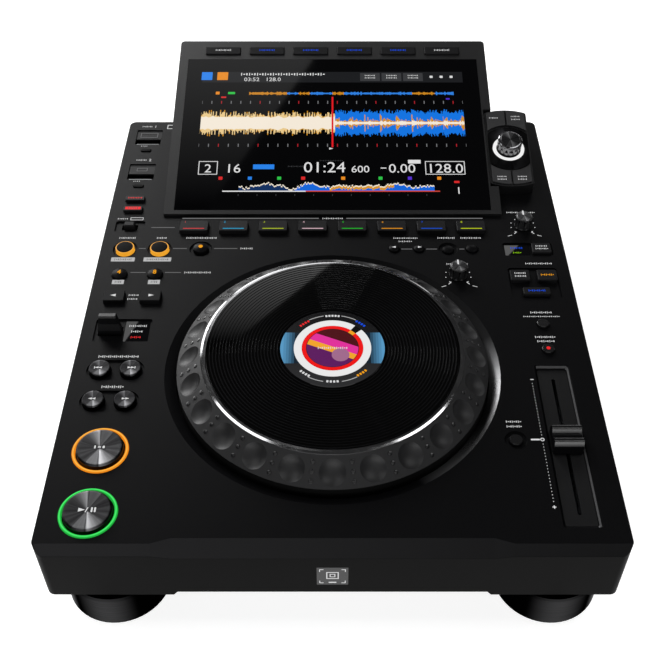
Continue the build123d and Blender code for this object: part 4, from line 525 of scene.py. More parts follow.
# USB pockets: hinged lids with a raised outline each, a light bar under the
# front edge of the pocket, and a small stop key in front of it.
LEFT_X, SECOND_X = -147.2, -122.7
LID_TOP, POCKET_FLOOR = 78.4, 77.6
dress(moulded("lid_plastic", "111112", "1c1c1d", 0.42, 0.5, 0.03, 0.04), "usb_flap_1", "usb_flap_2")
dress(moulded("stop_key_plastic", "020202", "060607", 0.5, 0.5, 0.02, 0.02), "usb_stop_keys")
bar_light = lit_plastic("bar_light", "0a0a0a", 0.3, 0.1)
bar_light.glow(bar_light.mix(bar_light.noise(4), "a8aaac", "d5d7d9"))
for number, y, width, depth in ((1, 156.4, 13.7, 6.2), (2, 110.7, 8.1, 3.9)):
    rim = joined(outline(LEFT_X, y + 3.2, width, depth, 0.45, LID_TOP, 0.15))
    fit([rim], f"usb_flap_outline_{number}", f"usb_flap_{number}", inks["grey"])
    edit(rim, eased(0.04 * mm, 1), edges=lambda a, b: min(a.z, b.z) > (LID_TOP + 0.1) * mm)
    glow = bar(LEFT_X, y - 9.2, 17.6, 0.9, POCKET_FLOOR, 0.8)
    fit([glow], f"usb_light_bar_{number}", "player_body", bar_light)


# Screen unit: a tilted plastic housing with a sheet of black glass bonded
# into it. The panel behind shows waves of sound, and plain figures below.
LEAN = radians(13.5)
SCREEN_FOOT = Vector((0, 56.6, 81.1)) * mm
WAVE_MIDDLE, WAVE_HALF, TICK_PITCH, BEAT = 88.5, 102.5, 7.6, 12.3
LOWER_RULER, UPPER_RULER, SLIM_MIDDLE, TITLE_BAR = (64.4, 67.4), (108.6, 111.6), 119.6, (131.5, 143)
HILL_FOOT, HILL_LEFT, HILL_RIGHT = 21.5, -70, 76
dress(moulded("housing_plastic", "070708", "121213", 0.42, 0.6, 0.02, 0.25), "display_housing")

glass = lit_plastic("screen_glass_lit", "020203", 0.04, 0.5)
x, y, z = glass.axes()
foot_along = SCREEN_FOOT.y * cos(LEAN) + SCREEN_FOOT.z * sin(LEAN)
slope = y * cos(LEAN) + z * sin(LEAN) - foot_along
square_on = (0, -sin(LEAN), cos(LEAN))
face = glass.vector("DOT_PRODUCT", glass.node("NewGeometry", {}, {}, "Normal"), square_on, output=1) > 0.9


def wander(finish, value, pitch, seed):
    """A steady random height for each step of value."""
    step = finish.maths("FLOOR", value / (pitch * mm))
    return finish.node("TexWhiteNoise", {"noise_dimensions": "1D"}, {"W": step + seed})


def swell(finish, value, pitch, seed):
    """A slow random height along value."""
    settings = {"noise_dimensions": "1D"}
    values = {"W": value + seed, "Scale": 1 / (pitch * mm), "Detail": 1.0}
    return finish.node("TexNoise", settings, values, "Fac")


# The large wave: two colours of bars on a pale core, with a red cursor.
left = x < 2 * mm
decay = 1 - (x / (BEAT * mm)) % 1
reach = abs(slope - WAVE_MIDDLE * mm)
inside = between(x, -WAVE_HALF, WAVE_HALF)
jump, flick = wander(glass, x, 0.8, 7.0), wander(glass, x, 0.8, 31.0)
outer = left * (6.5 + 8.5 * jump * flick) + (1 - left) * (9.0 + 4.0 * jump + 2.0 * decay)
middle = left * (5.5 + 6.5 * jump) + (1 - left) * (1.5 + 8.0 * decay * flick)
core = left * (4.5 + 3.5 * swell(glass, x, 5.0, 11.0)) + (1 - left) * (0.9 + 2.4 * decay * jump)
# Ruler ticks above and below, every fourth one red.
ruler = between(slope, *UPPER_RULER) + between(slope, *LOWER_RULER)
tick = (abs((x / (TICK_PITCH * mm)) % 1 - 0.5) < 0.045) * ruler * inside
fourth = ((x / (TICK_PITCH * 4 * mm)) % 1) < 0.25
# The slim wave across the top and the hill of the whole track at the foot.
slim_half = mm * (0.6 + 2.2 * swell(glass, x, 1.7, 5.0) * wander(glass, x, 1.3, 2.0))
slim = (abs(slope - SLIM_MIDDLE * mm) < slim_half) * between(x, -66, 96)
slim_tone = glass.mix(wander(glass, x, 9.0, 4.0) > 0.42, "c8831d", "2f7fe0")
hill = 22.3 * mm + mm * (9 * (swell(glass, x, 16.0, 9.0) - 0.25) + 2.2 * wander(glass, x, 1.1, 6.0))
under_hill = (slope > HILL_FOOT * mm) * between(x, HILL_LEFT, HILL_RIGHT)
played = glass.mix(x > -28 * mm, "12305f", "1566d8")
warm_top = (slope > hill - 2.4 * mm) * between(x, -2, 46)
# All of them in order, the dark grey title bar on top.
picture = glass.layers(
    "000000",
    ((reach < mm * outer) * inside, glass.mix(left, "1273e0", "c98a1c")),
    ((reach < mm * middle) * inside, glass.mix(left, "d08f28", "e9c98c")),
    ((reach < mm * core) * inside, "f4e9d8"),
    (tick, glass.mix(fourth, "77787a", "b0202a")),
    (slim, slim_tone),
    (under_hill * (slope < hill + 1.2 * mm), "f0e6d2"),
    (under_hill * (slope < hill), glass.mix(warm_top, played, "d5962c")),
    (between(slope, 20.7, 21.7) * between(x, -82, 80), glass.mix(x > -20 * mm, "e8e8e8", "d0453a")),
    (between(x, -0.7, 0.7) * between(slope, 64, 116), "e01a22"),
    (between(slope, *TITLE_BAR) * between(x, -104, 104), "1b1c1e"),
)
glass.glow(glass.mix(face, "000000", picture))
dress(glass, "display_glass")


def leaned(piece, foot, lift):
    """Tips a piece made flat in the screen's own plane, lift above its face."""
    piece.rotation_euler = (LEAN, 0, 0)
    piece.location = foot + Vector((0, -sin(LEAN), cos(LEAN))) * lift * mm
    return joined([piece])


SKIN = 0.02
TAB_X, TAB_Y = (30, 47.2, 64.4), 137.4
CUE_MARKS, FIGURE_Y = 33.6, 42.6


def block(x, y, width, depth):
    """A lit block on the face of the screen."""
    return bar(x, y, width, depth, 0, SKIN)


figures = [
    ("01:24", 14.5, -6, 43.6), ("600", 9.4, 21, 42.0), ("16", 12, -75, FIGURE_Y),
    ("2", 11.5, -94, FIGURE_Y), ("128.0", 12.5, 85, FIGURE_Y), ("0.00", 12, 52.5, FIGURE_Y),
    ("03:52   128.0", 5.6, -56, 134.6), ("1", 9, 94, 21.5),
]
white_row = [numeral(words, size, x, y, 0, SKIN) for words, size, x, y in figures]
white_row += [block(38.5, 43.4, 4.4, 0.9), block(62, 49.6, 9.6, 3.6), arrow(-1.5, 62.6, 1.6, 1, 0, SKIN)]
white_row += outline(-94, 43.6, 14.5, 13, 0.6, 0, SKIN) + outline(85, 43.6, 30, 13, 0.6, 0, SKIN)
white_row += dashes(-74, -6, 140.4, 3.0, 0, 2.1)
for x in TAB_X:
    white_row += dashes(x - 4.4, x + 4.4, 139.0, 1.4, SKIN) + dashes(x - 4.4, x + 4.4, 136.4, 1.4, SKIN)
white_row += [block(x, 137.6, 2.4, 2.4) for x in (79, 87, 95)]
grey_row = [block(x, TAB_Y, 15.8, 8.6) for x in TAB_X]
grey_row += dashes(-34, -22, 45, 1.4, 0) + dashes(-10, 8, 50.6, 1.2, 0)
grey_row += [block(x, 17.6, 0.5, 1.6) for x in range(-70, 80, 14)]
screen_blocks = {
    "blue": [(-52, 44.6, 16, 4.6), (-100.5, 138.4, 8.6, 8.6), (-62, CUE_MARKS, 3, 3)],
    "red": [(-84, CUE_MARKS, 3, 3), (-86, 115.5, 4, 1.6), (-22, CUE_MARKS, 3, 3), (93, 30, 4, 2)],
    "green": [(-40, CUE_MARKS, 3, 3), (-80, 120, 5.6, 2.4), (36, CUE_MARKS, 3, 3)],
    "amber": [(-91, 120, 3, 3), (8, CUE_MARKS, 3, 3), (80, CUE_MARKS, 3, 3), (-88, 138.4, 8.6, 8.6)],
    "violet": [(58, CUE_MARKS, 3, 3), (91, 113.8, 3, 1.4)],
}
screen_rows = {colour: [block(*each) for each in places] for colour, places in screen_blocks.items()}
screen_rows.update(white=white_row, grey=grey_row)
screen_colours = {
    "white": "e6e6e6", "grey": "3c3d3f", "blue": "2a86f0", "red": "e02a2a",
    "green": "2fc84a", "amber": "f09020", "violet": "5a32d8",
}
for colour, code in screen_colours.items():
    readout = leaned(joined(screen_rows[colour]), SCREEN_FOOT, 0.0)
    lit = bright(lit_plastic("screen_" + colour, "020203", 0.06, 0.5), 2, code, 0.85)
    fit([readout], "screen_readout_" + colour, "player_body", lit)


# Menu keys: six silicone keys in a row above the glass, printed in white at
# both ends of the row and lit blue in the middle. Most of the other flat keys
# are made of the same silicone.
MENU_PITCH, MENU_Y = 35.56, 166.4
key_plastic = moulded("key_plastic", "101011", "1b1b1c", 0.42, 0.5, 0.02, 0.045)
dress(key_plastic, "menu_keys")
menu_marks = {"grey": [], "blue": []}
for i in range(6):
    colour = "grey" if i in (0, 5) else "blue"
    key_x = MENU_PITCH * (i - 2.5)
    menu_marks[colour] += dashes(key_x - 6.5, key_x + 6.5, MENU_Y, 2.0, 1.0)
for colour, ink in (("grey", white_ink), ("blue", inks["blue"])):
    row = leaned(joined(menu_marks[colour]), SCREEN_FOOT, 0.0)
    fit([row], "menu_key_marks_" + colour, "menu_keys", ink)


# Selector pod: a gloss housing beside the screen with four rubber keys round
# a spun plate, a lit ring, and a push knob of milled and polished aluminium.
POD = (134.6, 118.08, 95.31)
POD_FOOT = Vector(POD) * mm
PLATE_HALF_WIDTH, KEY_MARKS_HEIGHT = 15.2, 1.22
dress(moulded("pod_gloss", "060607", "101011", 0.3, 0.8, 0.01, 0.45), "selector_pod")
dress(moulded("pod_key_rubber", "19191a", "272728", 0.4, 0.5, 0.02, 0.4), "selector_pod_keys")


def turned(profile, steps=96):
    """A closed ring or disc, spun about Z from a profile of radius and height."""
    points = [Vector((r, 0, z)) * mm for r, z in profile]
    made = primitive("plane", size=mm)
    walk = [(bpy.ops.mesh.merge, {"type": "CENTER"}), (bpy.ops.transform.translate, {"value": points[0]})]
    for last, point in zip(points, points[1:] + points[:1]):
        walk.append((bpy.ops.mesh.extrude_region_move, {"TRANSFORM_OT_translate": {"value": point - last}}))
    edit(made, *walk)
    edit(
        made,
        merge,
        (bpy.ops.mesh.spin, {"steps": steps, "angle": 2 * pi, "center": (0, 0, 0), "axis": (0, 0, 1)}),
        (bpy.ops.mesh.select_all, {"action": "SELECT"}),
        merge,
        (bpy.ops.mesh.normals_make_consistent, {"inside": False}),
    )
    return made


def spun(name, x, y, z, dark, light, roughness, lean=0.0):
    """Metal faced on a lathe, with rings in relief, a highlight painted in two opposite wedges about its own
    centre, and painted shade on its flank.
    """
    finish = Finish(name, Metallic=1.0)
    axis = (0, -sin(lean), cos(lean))
    reach = finish.vector("SUBTRACT", finish.place(), (x * mm, y * mm, z * mm))
    across = finish.vector("CROSS_PRODUCT", reach, axis)
    outward = finish.vector("NORMALIZE", finish.vector("CROSS_PRODUCT", axis, across))
    east, north = [finish.node("SeparateXYZ", {}, {"Vector": outward}, way) for way in "XY"]
    # Painted highlight: two opposite wedges by bearing, where the lathe-faced metal would shine.
    past = (finish.maths("ARCTAN2", north, east) / pi - 92 / 180) % 1
    painted_wedge = finish.maths("MINIMUM", past * 25, finish.maths("MAXIMUM", 1.1 - past / 0.3, 0.4 * (past > 0.82)))
    streaks = finish.node("TexNoise", {}, {"Vector": outward, "Scale": 5.0, "Detail": 2.0}, "Fac")
    flat = finish.node("NewGeometry", {}, {}, "Normal")
    faced = finish.vector("DOT_PRODUCT", flat, axis, output=1) > 0.6
    tone = finish.mix(painted_wedge * painted_wedge + 0.3 * (streaks - 0.35), dark, light)
    # Painted shade: the flank, facing away from the axis, is near black.
    finish.set({"Base Color": finish.mix(faced, "050505", tone), "Roughness": roughness + 0.1 * streaks})
    rings = finish.vector("LENGTH", across, output=1) / (0.8 * mm)
    finish.relief(finish.maths("SINE", rings * tau), 0.01)
    return finish


plate = turned([(12.2, 0), (21.2, 0), (21.2, 0.2), (20.9, 0.5), (12.5, 0.5), (12.2, 0.3)])
for side in (-1, 1):
    cut = {"plane_co": (side * PLATE_HALF_WIDTH * mm, 0, 0), "plane_no": (side, 0, 0)}
    edit(plate, (bpy.ops.mesh.bisect, {**cut, "use_fill": True, "clear_outer": True}))
leaned(plate, POD_FOOT, 0.0)
pod_plate = spun("pod_spun_plate", *POD, "0a0a0b", "2a2a2c", 0.3, LEAN)
fit([plate], "selector_plate", "player_body", pod_plate)


def fluted(radius, height, flutes, depth):
    """A knob body standing at z 0, with flutes milled down its flank."""
    size = {"vertices": 4 * flutes, "radius": radius * mm, "depth": height * mm}
    made = joined([primitive("cylinder", **size, location=(0, 0, height / 2 * mm))])

    def flute(centre, normal):
        quarter = int(atan2(normal.y, normal.x) / tau * 4 * flutes + 4 * flutes) % 4
        return abs(normal.z) < 0.1 and quarter < 2

    edit(
        made,
        (bpy.ops.mesh.inset, {"thickness": 0.12 * radius * mm}),
        (bpy.ops.transform.shrink_fatten, {"value": -depth * mm}),
        faces=flute,
    )
    rim = eased(0.07 * radius * mm, 2)
    edit(made, rim, edges=lambda a, b: min(a.z, b.z) > 0.999 * height * mm)
    return made


selector = leaned(fluted(8.3, 8.5, 14, 0.9), POD_FOOT, 1.4)
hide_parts("selector_knob")
selector_chrome = metal("selector_chrome", "5a5a5c", "9a9a9c", 0.16, 0.8, 0.01)
fit([selector], "selector_knob_milled", "selector_knob", selector_chrome, 25)
selector_face = leaned(turned([(0, 0), (7.3, 0), (7.3, 0.3), (6.9, 0.7), (0, 0.5)], 64), POD_FOOT, 9.9)
selector_spun = spun("selector_spun_face", *POD, "202021", "a0a0a2", 0.28, LEAN)
fit([selector_face], "selector_knob_face", "selector_knob", selector_spun)
pod_marks = []
for x, y in ((-9.4, 30), (7.6, 31.5), (7.6, 28.5), (-7.6, -28.4), (-7.6, -31), (7.6, -28.4), (7.6, -31)):
    pod_marks += dashes(x - 3.6, x + 3.6, y, 1.3, KEY_MARKS_HEIGHT)
pod_marks = leaned(joined(pod_marks), POD_FOOT, 0.0)
fit([pod_marks], "pod_key_marks", "selector_pod_keys", white_ink)


# Lit rings: milky plastic light guides round the cue and play buttons and
# the selector, amber, green and white. Each big one has a highlight painted
# along the middle of its rod, as on a round tube.
BIG_X, CUE_Y, PLAY_Y = -136.6, -160.2, -204.3
RING_RADIUS = 15.75
ring_light = lit_plastic("light_ring_lit", "0a0a0a", 0.25, 0.1)
x, y, z = ring_light.axes()
halfway, half = (CUE_Y + PLAY_Y) / 2, (CUE_Y - PLAY_Y) / 2
cue = y > halfway * mm
dx, dy = x - BIG_X * mm, abs(y - halfway * mm) - half * mm
off = abs(ring_light.maths("SQRT", dx * dx + dy * dy) - RING_RADIUS * mm) / mm
edge_tone = ring_light.mix(cue, "18a636", "ea8410")
middle_tone = ring_light.mix(cue, "4af571", "ffbc48")
# Painted highlight: pale along the middle of each big ring, deeper colour at its edges.
painted_crest = ring_light.mix(off * 1.3 + 0.3 * (ring_light.noise(3) - 0.5), middle_tone, edge_tone)
ring_light.glow(ring_light.mix(y > 0, painted_crest, "f2f2f2"))
dress(ring_light, "light_rings")


# Left side: two slim keys, the mode lever in its recess, and the loop keys.
# The loop buttons are black caps on amber collars that glow from inside.
SLIM_TOP, JUMP_TOP, LOOP_TOP, DOME_TOP = 81.2, 82.2, 80.6, 81.6
QUANTIZE_Y, SLIP_Y, LOOP_Y, BEAT_Y, JUMP_Y = 75.6, 63.4, 20.0, -7.2, -30.9
RELOOP_X = -93.4
dress(key_plastic, "quantize_and_slip_keys", "hot_cue_mode_lever")
jump_plastic = moulded("jump_key_plastic", "0a0a0b", "131314", 0.42, 0.5, 0.02, 0.03)
dress(jump_plastic, "beat_jump_back_key", "beat_jump_forward_key")
slim_marks = dashes(-152.6, -141.8, QUANTIZE_Y, 1.8, SLIM_TOP) + [bar(LEFT_X, SLIP_Y, 11.4, 3.0, SLIM_TOP)]
fit(slim_marks, "slim_key_marks", "quantize_and_slip_keys", inks["red"])
slim_ticks = dashes(-151.2, -143.2, SLIP_Y, 1.6, SLIM_TOP + INK)
fit(slim_ticks, "slim_key_ticks", "quantize_and_slip_keys", cover_ink)
for name, x, pointing in (("back", LEFT_X, -1), ("forward", SECOND_X, 1)):
    mark = arrow(x, JUMP_Y, 1.9, pointing, JUMP_TOP)
    fit([mark], f"beat_jump_{name}_arrow", f"beat_jump_{name}_key", white_ink)

dome = moulded("button_rubber", "050506", "0c0c0d", 0.36, 0.6, 0.01, 0.03)
dress(dome, "beat_loop_4_button", "beat_loop_8_button", "reloop_button", "memory_buttons")
amber_glow = lit_plastic("collar_amber", "1a1206", 0.3, 0.1)
amber_glow.glow(amber_glow.mix(amber_glow.noise(3), "e0951f", "f6ad35"))
dress(amber_glow, "loop_in_button", "loop_out_button")


def set_down(piece, x, y, z):
    """Moves a turned piece from the origin to its place."""
    piece.location = Vector((x, y, z)) * mm
    return joined([piece])


loop_cap = moulded("loop_cap_rubber", "020203", "060607", 0.36, 0.6, 0.01, 0.012)
for name, x in (("in", LEFT_X), ("out", SECOND_X)):
    cap = turned([(0, -0.3), (5.8, -0.3), (5.8, 0.3), (5.4, 0.7), (0, 0.95)], 64)
    set_down(cap, x, LOOP_Y, LOOP_TOP)
    fit([cap], f"loop_{name}_cap", f"loop_{name}_button", loop_cap)
spot = set_down(turned([(0, -0.3), (1.5, -0.3), (1.5, 0.05), (0, 0.12)], 32), RELOOP_X, LOOP_Y, DOME_TOP)
fit([spot], "reloop_light", "reloop_button", inks["amber"])
for words, x in (("4", LEFT_X), ("8", SECOND_X)):
    figure = numeral(words, 5.4, x, BEAT_Y, DOME_TOP, 0.3)
    fit([figure], f"beat_loop_{words}_figure", f"beat_loop_{words}_button", inks["amber"])


# Direction lever: a broad saddle on a steel pin, beside a gloss window that
# three lit words stand behind. The other windows are of the same acrylic.
WINDOW_TOP, WORD_HEIGHT = 77.8, 1.9
dress(moulded("lever_satin", "060607", "111112", 0.34, 0.6, 0.02, 0.25), "direction_lever")
acrylic = Finish("window_acrylic", Specular_IOR_Level=0.5)
smear = acrylic.noise(9, 3)
acrylic.paint(acrylic.mix(smear, "040405", "08080a"))
acrylic.set({"Roughness": 0.01 + 0.01 * smear})
dress(acrylic, "legend_windows")
window_words = {
    "white": [(-134.2, -122.2, -55.9), (-132.4, -124.4, -61)],
    "red": [(-132, -125, -66.2)],
    "blue": [(126.4, 135.4, 22.4)],
    "green": [(127.6, 134, 17.4)],
}
for colour, places in window_words.items():
    printed(dashed(places, WORD_HEIGHT, WINDOW_TOP), "window_marks_" + colour, inks[colour])


# Round transport buttons: aluminium caps faced on a lathe, dark for track
# and search, bright for cue and play, with printed pictograms.
SMALL_TOP, BIG_TOP = 81.4, 82.2
BACK_X, FORWARD_X, TRACK_Y, SEARCH_Y = -146.85, -127.35, -96.2, -122.0
for kind, y in (("track", TRACK_Y), ("search", SEARCH_Y)):
    for way, x, pointing in (("back", BACK_X, -1), ("forward", FORWARD_X, 1)):
        name = f"{kind}_{way}"
        dress(spun(name + "_spun", x, y, 0, "101011", "59595b", 0.28), name + "_button")
        row = [arrow(x + dx * pointing, y, 1.25, pointing, SMALL_TOP) for dx in (-0.9, 1.3)]
        if kind == "track":
            row.append(bar(x + 3.0 * pointing, y, 0.5, 2, SMALL_TOP))
        fit(row, name + "_mark", name + "_button", white_ink)
for name, y in (("cue", CUE_Y), ("play", PLAY_Y)):
    dress(spun(name + "_spun", BIG_X, y, 0, "1e1e1f", "868688", 0.28), name + "_button")
cue_row = dashes(BIG_X - 3.8, BIG_X + 3.8, CUE_Y, 2.2, BIG_TOP, 2.4)
play_row = [
    arrow(BIG_X - 3.6, PLAY_Y, 2.0, 1, BIG_TOP),
    bar(BIG_X - 0.2, PLAY_Y, 0.5, 3.4, BIG_TOP, INK, -20),
    bar(BIG_X + 2.7, PLAY_Y, 1, 3.2, BIG_TOP),
    bar(BIG_X + 4.5, PLAY_Y, 1, 3.2, BIG_TOP),
]
fit(cue_row, "cue_mark", "cue_button", white_ink)
fit(play_row, "play_mark", "play_button", white_ink)


# Hot cue keys: eight long silicone keys under the screen, each with its own
# coloured light bar and a small figure.
HOT_KEYS, HOT_PITCH, HOT_TOP, HOT_BAR_Y, HOT_FIGURE_Y = 8, 28.6, 82.2, 38.9, 46.0
key_colours = ("d83a3e", "1fa2d2", "b4c814", "e6c0ca", "1bbe28", "e8960c", "0a50d2", "c2d010")
hot_light = lit_plastic("hot_cue_lights", "030303", 0.4, 0.02)
x = hot_light.axes()[0]
row_length = HOT_KEYS * HOT_PITCH
stops = [(max(i / HOT_KEYS, 0.001), shade(code)) for i, code in enumerate(key_colours)]
along = (x + row_length / 2 * mm) / (row_length * mm)
hue = hot_light.node("ValToRGB", {"stops": stops}, {"Fac": along}, "Color")
hot_light.glow(hot_light.mix(hot_light.noise(1) * 0.2, hue, "000000"))
for i in range(HOT_KEYS):
    key, key_x = f"hot_cue_key_{i + 1}", HOT_PITCH * (i - 3.5)
    dress(key_plastic, key)
    light = [bar(key_x, HOT_BAR_Y, 15.3, 0.8, HOT_TOP)]
    light.append(numeral(str(i + 1), 2.8, key_x - 6.6, HOT_FIGURE_Y, HOT_TOP))
    fit(light, key + "_light", key, hot_light)


# Jog wheel: a moulded ring with a dimple for each fingertip and rows of small
# bumps between, over a skirt painted near black as shade in the well, and a chromed trim ring inside it.
SKIRT_TOP, DIMPLES = 82.1, 24
FLANK_OUTSIDE, FLANK_INSIDE, FLANK_LOW, FLANK_HIGH = 98.0, 82.2, 82.0, 93.6
FLANK = atan2(FLANK_HIGH - FLANK_LOW, FLANK_OUTSIDE - FLANK_INSIDE)
BUMP_RADIUS, BUMP_SPACING, BUMP_DEPTH, BUMP_MIDDLE = 1.35, 5.6, 0.7, 0.2
WHEEL_DARK, WHEEL_LIGHT = "161617", "212122"
wheel = moulded("wheel_satin", WHEEL_DARK, WHEEL_LIGHT, 0.48, 0.5, 0.01, 0.28)
satin = wheel.mix(wheel.noise(0.5, 3), WHEEL_DARK, WHEEL_LIGHT)
# Painted shade: below the skirt's top the wheel is near black.
wheel.paint(wheel.mix(wheel.axes()[2] > SKIRT_TOP * mm, "020202", satin))
dress(wheel, "jog_wheel")
dress(metal("trim_chrome", "b0b0b2", "dcdcde", 0.1, 6, 0.001), "jog_trim_ring")

size = {"vertices": 16, "radius": BUMP_RADIUS * mm, "depth": BUMP_DEPTH * mm}
bump = joined([primitive("cylinder", **size, location=(0, 0, BUMP_MIDDLE * mm))])
edit(bump, eased(0.3 * mm, 2), edges=lambda a, b: min(a.z, b.z) > 0.5 * mm)
halfway_out, halfway_up = (FLANK_OUTSIDE + FLANK_INSIDE) / 2, (FLANK_LOW + FLANK_HIGH) / 2
bump_spots = []
for i in range(DIMPLES):
    turn = radians(15 * i - 82.5)
    for along in (-BUMP_SPACING, 0, BUMP_SPACING):
        out = halfway_out + along * cos(FLANK)
        spot = (out * cos(turn), JOG_Y + out * sin(turn), halfway_up - along * sin(FLANK))
        bump_spots.append((spot, (0, FLANK, turn)))
bump_gloss = moulded("bump_gloss", "0e0e0f", "1c1c1d", 0.25, 0.5, 0.01, 0.5)
fit(copies(bump, bump_spots), "jog_wheel_bumps", "jog_wheel", bump_gloss)


# Platter: aluminium turned with a groove every two millimetres, then lacquered
# black with a clear coat over all but the walls of the grooves.
GROOVES, GROOVE_PITCH, GROOVE_DEPTH = 22, 2.0, 0.35
PLATTER_FOOT, PLATTER_TOP = 94.4, 96.0
PLATTER_INSIDE, FIRST_GROOVE, PLATTER_OUTSIDE = 33.35, 34.1, 78.55
profile = [(PLATTER_INSIDE, PLATTER_FOOT), (PLATTER_INSIDE, PLATTER_TOP)]
for i in range(GROOVES):
    inner, low = FIRST_GROOVE + GROOVE_PITCH * i, PLATTER_TOP - GROOVE_DEPTH
    profile += [(inner, PLATTER_TOP), (inner + 0.15, low), (inner + 0.85, low), (inner + 1.0, PLATTER_TOP)]
profile += [(PLATTER_OUTSIDE, PLATTER_TOP), (PLATTER_OUTSIDE, PLATTER_FOOT)]
platter = set_down(turned(profile, 160), 0, JOG_Y, 0)
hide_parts("jog_platter")
lacquer = Finish("platter_black", Specular_IOR_Level=0.0, Coat_Roughness=0.03)
film, z = lacquer.noise(30, 3), lacquer.axes()[2]
land = z > (PLATTER_TOP - 0.1) * mm
groove_wall = between(z, PLATTER_TOP - 0.33, PLATTER_TOP - 0.02)
lacquer.paint(lacquer.mix(land, "111112", "010101"))
lacquer.set({"Roughness": 0.45 + 0.1 * film, "Coat Weight": 1 - groove_wall})
fit([platter], "jog_platter_grooved", "jog_platter", lacquer, 20)


# Jog display: a fixed glass disc in the middle of the platter. It shows rings
# of light, a plain abstract picture, and marks round the edge.
DISC_TOP, ART_RADIUS, ARC_RADIUS = 95.8, 16.1, 28.6
RED_RING, WHITE_RING, SIDE_BANDS = (16.5, 19.1), (19.2, 24.1), (24, 32.6)
disc = Finish("jog_disc_lit", Roughness=0.12, Emission_Strength=1.0)
x, y, z = disc.axes()
dy = y - JOG_Y * mm
radius = disc.maths("SQRT", x * x + dy * dy)
angle = disc.maths("ARCTAN2", dy, x)
bands = disc.maths("FLOOR", (abs(x) - 22 * mm) / (1.7 * mm)) / 6.5
sides = (abs(dy) < 13.2 * mm) * between(radius, *SIDE_BANDS)
gap = abs(angle - radians(47)) < 0.11
tilted = dy + x * 0.45
orb_x, orb_y = x - 5 * mm, dy + 6 * mm
orb = disc.maths("SQRT", orb_x * orb_x + orb_y * orb_y) < 5.5 * mm
stripes = disc.layers(
    "5c1a5e",
    (tilted > -4 * mm, "f0a428"),
    (tilted > 1 * mm, "e0309a"),
    (tilted > 8 * mm, "4c0c14"),
    (orb, "a06a8c"),
)
from_upright = abs(abs(angle) - radians(90))
arc = (abs(radius - ARC_RADIUS * mm) < 0.3 * mm) * (from_upright < 0.55) * (from_upright > 0.2)
art = disc.layers(
    disc.mix(0.5 + dy / (56 * mm), "2a2a2b", "0a0a0b"),
    (sides, disc.mix(bands, "10202c", "61a9d8")),
    (between(radius, *WHITE_RING), disc.mix(gap, "e9e9e9", "050505")),
    (between(radius, *RED_RING), disc.mix(gap, "ee1111", "f0a020")),
    (radius < ART_RADIUS * mm, stripes),
    (arc, "b0b0b0"),
)
disc.set({"Base Color": "050506", "Emission Color": disc.mix(z > 95.7 * mm, "000000", art)})
dress(disc, "jog_display")


def round_row(middle, out, count, step):
    """Short marks along an arc of the disc, middle and step in degrees."""
    made = []
    for k in range(count):
        turn = radians(middle + step * (k - (count - 1) / 2))
        x, y = out * cos(turn), JOG_Y + out * sin(turn)
        made.append(bar(x, y, 1.3, 1.7, DISC_TOP, INK, degrees(turn) - 90))
    return made


disc_rows = {
    "white": round_row(-128, 27.5, 4, 4.2) + round_row(-90, 28.2, 4, 4.2) + round_row(90, 28.2, 5, 4),
    "red": round_row(130, 27.8, 4, 4.2),
    "blue": round_row(50, 27.8, 4, 4.2),
    "amber": round_row(-50, 27.8, 4, 4.2),
}
disc_rows["white"] += dashes(-9.5, 9.5, JOG_Y - 0.2, 2.0, DISC_TOP)
for colour, row in disc_rows.items():
    fit(row, "jog_disc_marks_" + colour, "player_body", inks[colour])


# Right side: memory row, two small turning knobs with fluted rubber flanks
# and spun faces, the mode and sync keys, and the small tempo buttons.
KNOB_RADIUS, KNOB_FOOT, KNOB_TOP, DOT_RADIUS = 6.2, 79.6, 88.3, 8.8
VINYL_SPEED, JOG_ADJUST = (138.3, 45.4), (86.8, -8.0)
CALL_Y, CALL_TOP, MODE_TOP, SYNC_TOP = 19.9, 80.75, 80.6, 81.0
TEMPO_LIGHT_Y, TEMPO_BUTTON_TOP = -78.9, 81.0
for name, x, pointing in (("back", 43.9, -1), ("forward", 61.4, 1)):
    mark = arrow(x, CALL_Y, 1.4, pointing, CALL_TOP, 0.3)
    fit([mark], f"call_{name}_arrow", "memory_buttons", white_ink)

knob_rubber = moulded("knob_rubber_black", "101011", "202021", 0.35, 0.5, 0.02, 0.5)
for name, (x, y) in (("vinyl_speed_knob", VINYL_SPEED), ("jog_adjust_knob", JOG_ADJUST)):
    grip = set_down(fluted(KNOB_RADIUS, 8.4, 9, 0.8), x, y, KNOB_FOOT)
    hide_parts(name)
    fit([grip], name + "_grip", name, knob_rubber, 25)
    face = turned([(0, 0), (5.3, 0), (5.3, 0.2), (4.9, 0.5), (0, 0.6)], 64)
    face_metal = spun(name + "_spun", x, y, 0, "2c2c2d", "b0b0b2", 0.28)
    fit([set_down(face, x, y, KNOB_TOP - 0.35)], name + "_face", name, face_metal)
    pointer = bar(x - 0.6, y + 3.4, 1.0, 4.4, KNOB_TOP, 0.5)
    fit([pointer], name + "_pointer", name, white_ink)
    dots = []
    for i in range(9):
        turn = radians(-45 + 270 / 8 * i)
        dots.append(bar(x + DOT_RADIUS * cos(turn), y + DOT_RADIUS * sin(turn), 0.7, 0.7))
    for side in (-1, 1):
        dots.append(bar(x + side * 6.2, y - 7.6, 3.0, 0.5, turn=-side * 50))
        dots.append(bar(x + side * 10.6, y - 10.8, 3.4, 0.4, turn=-side * 20))
    printed(dots, name + "_scale", white_ink)

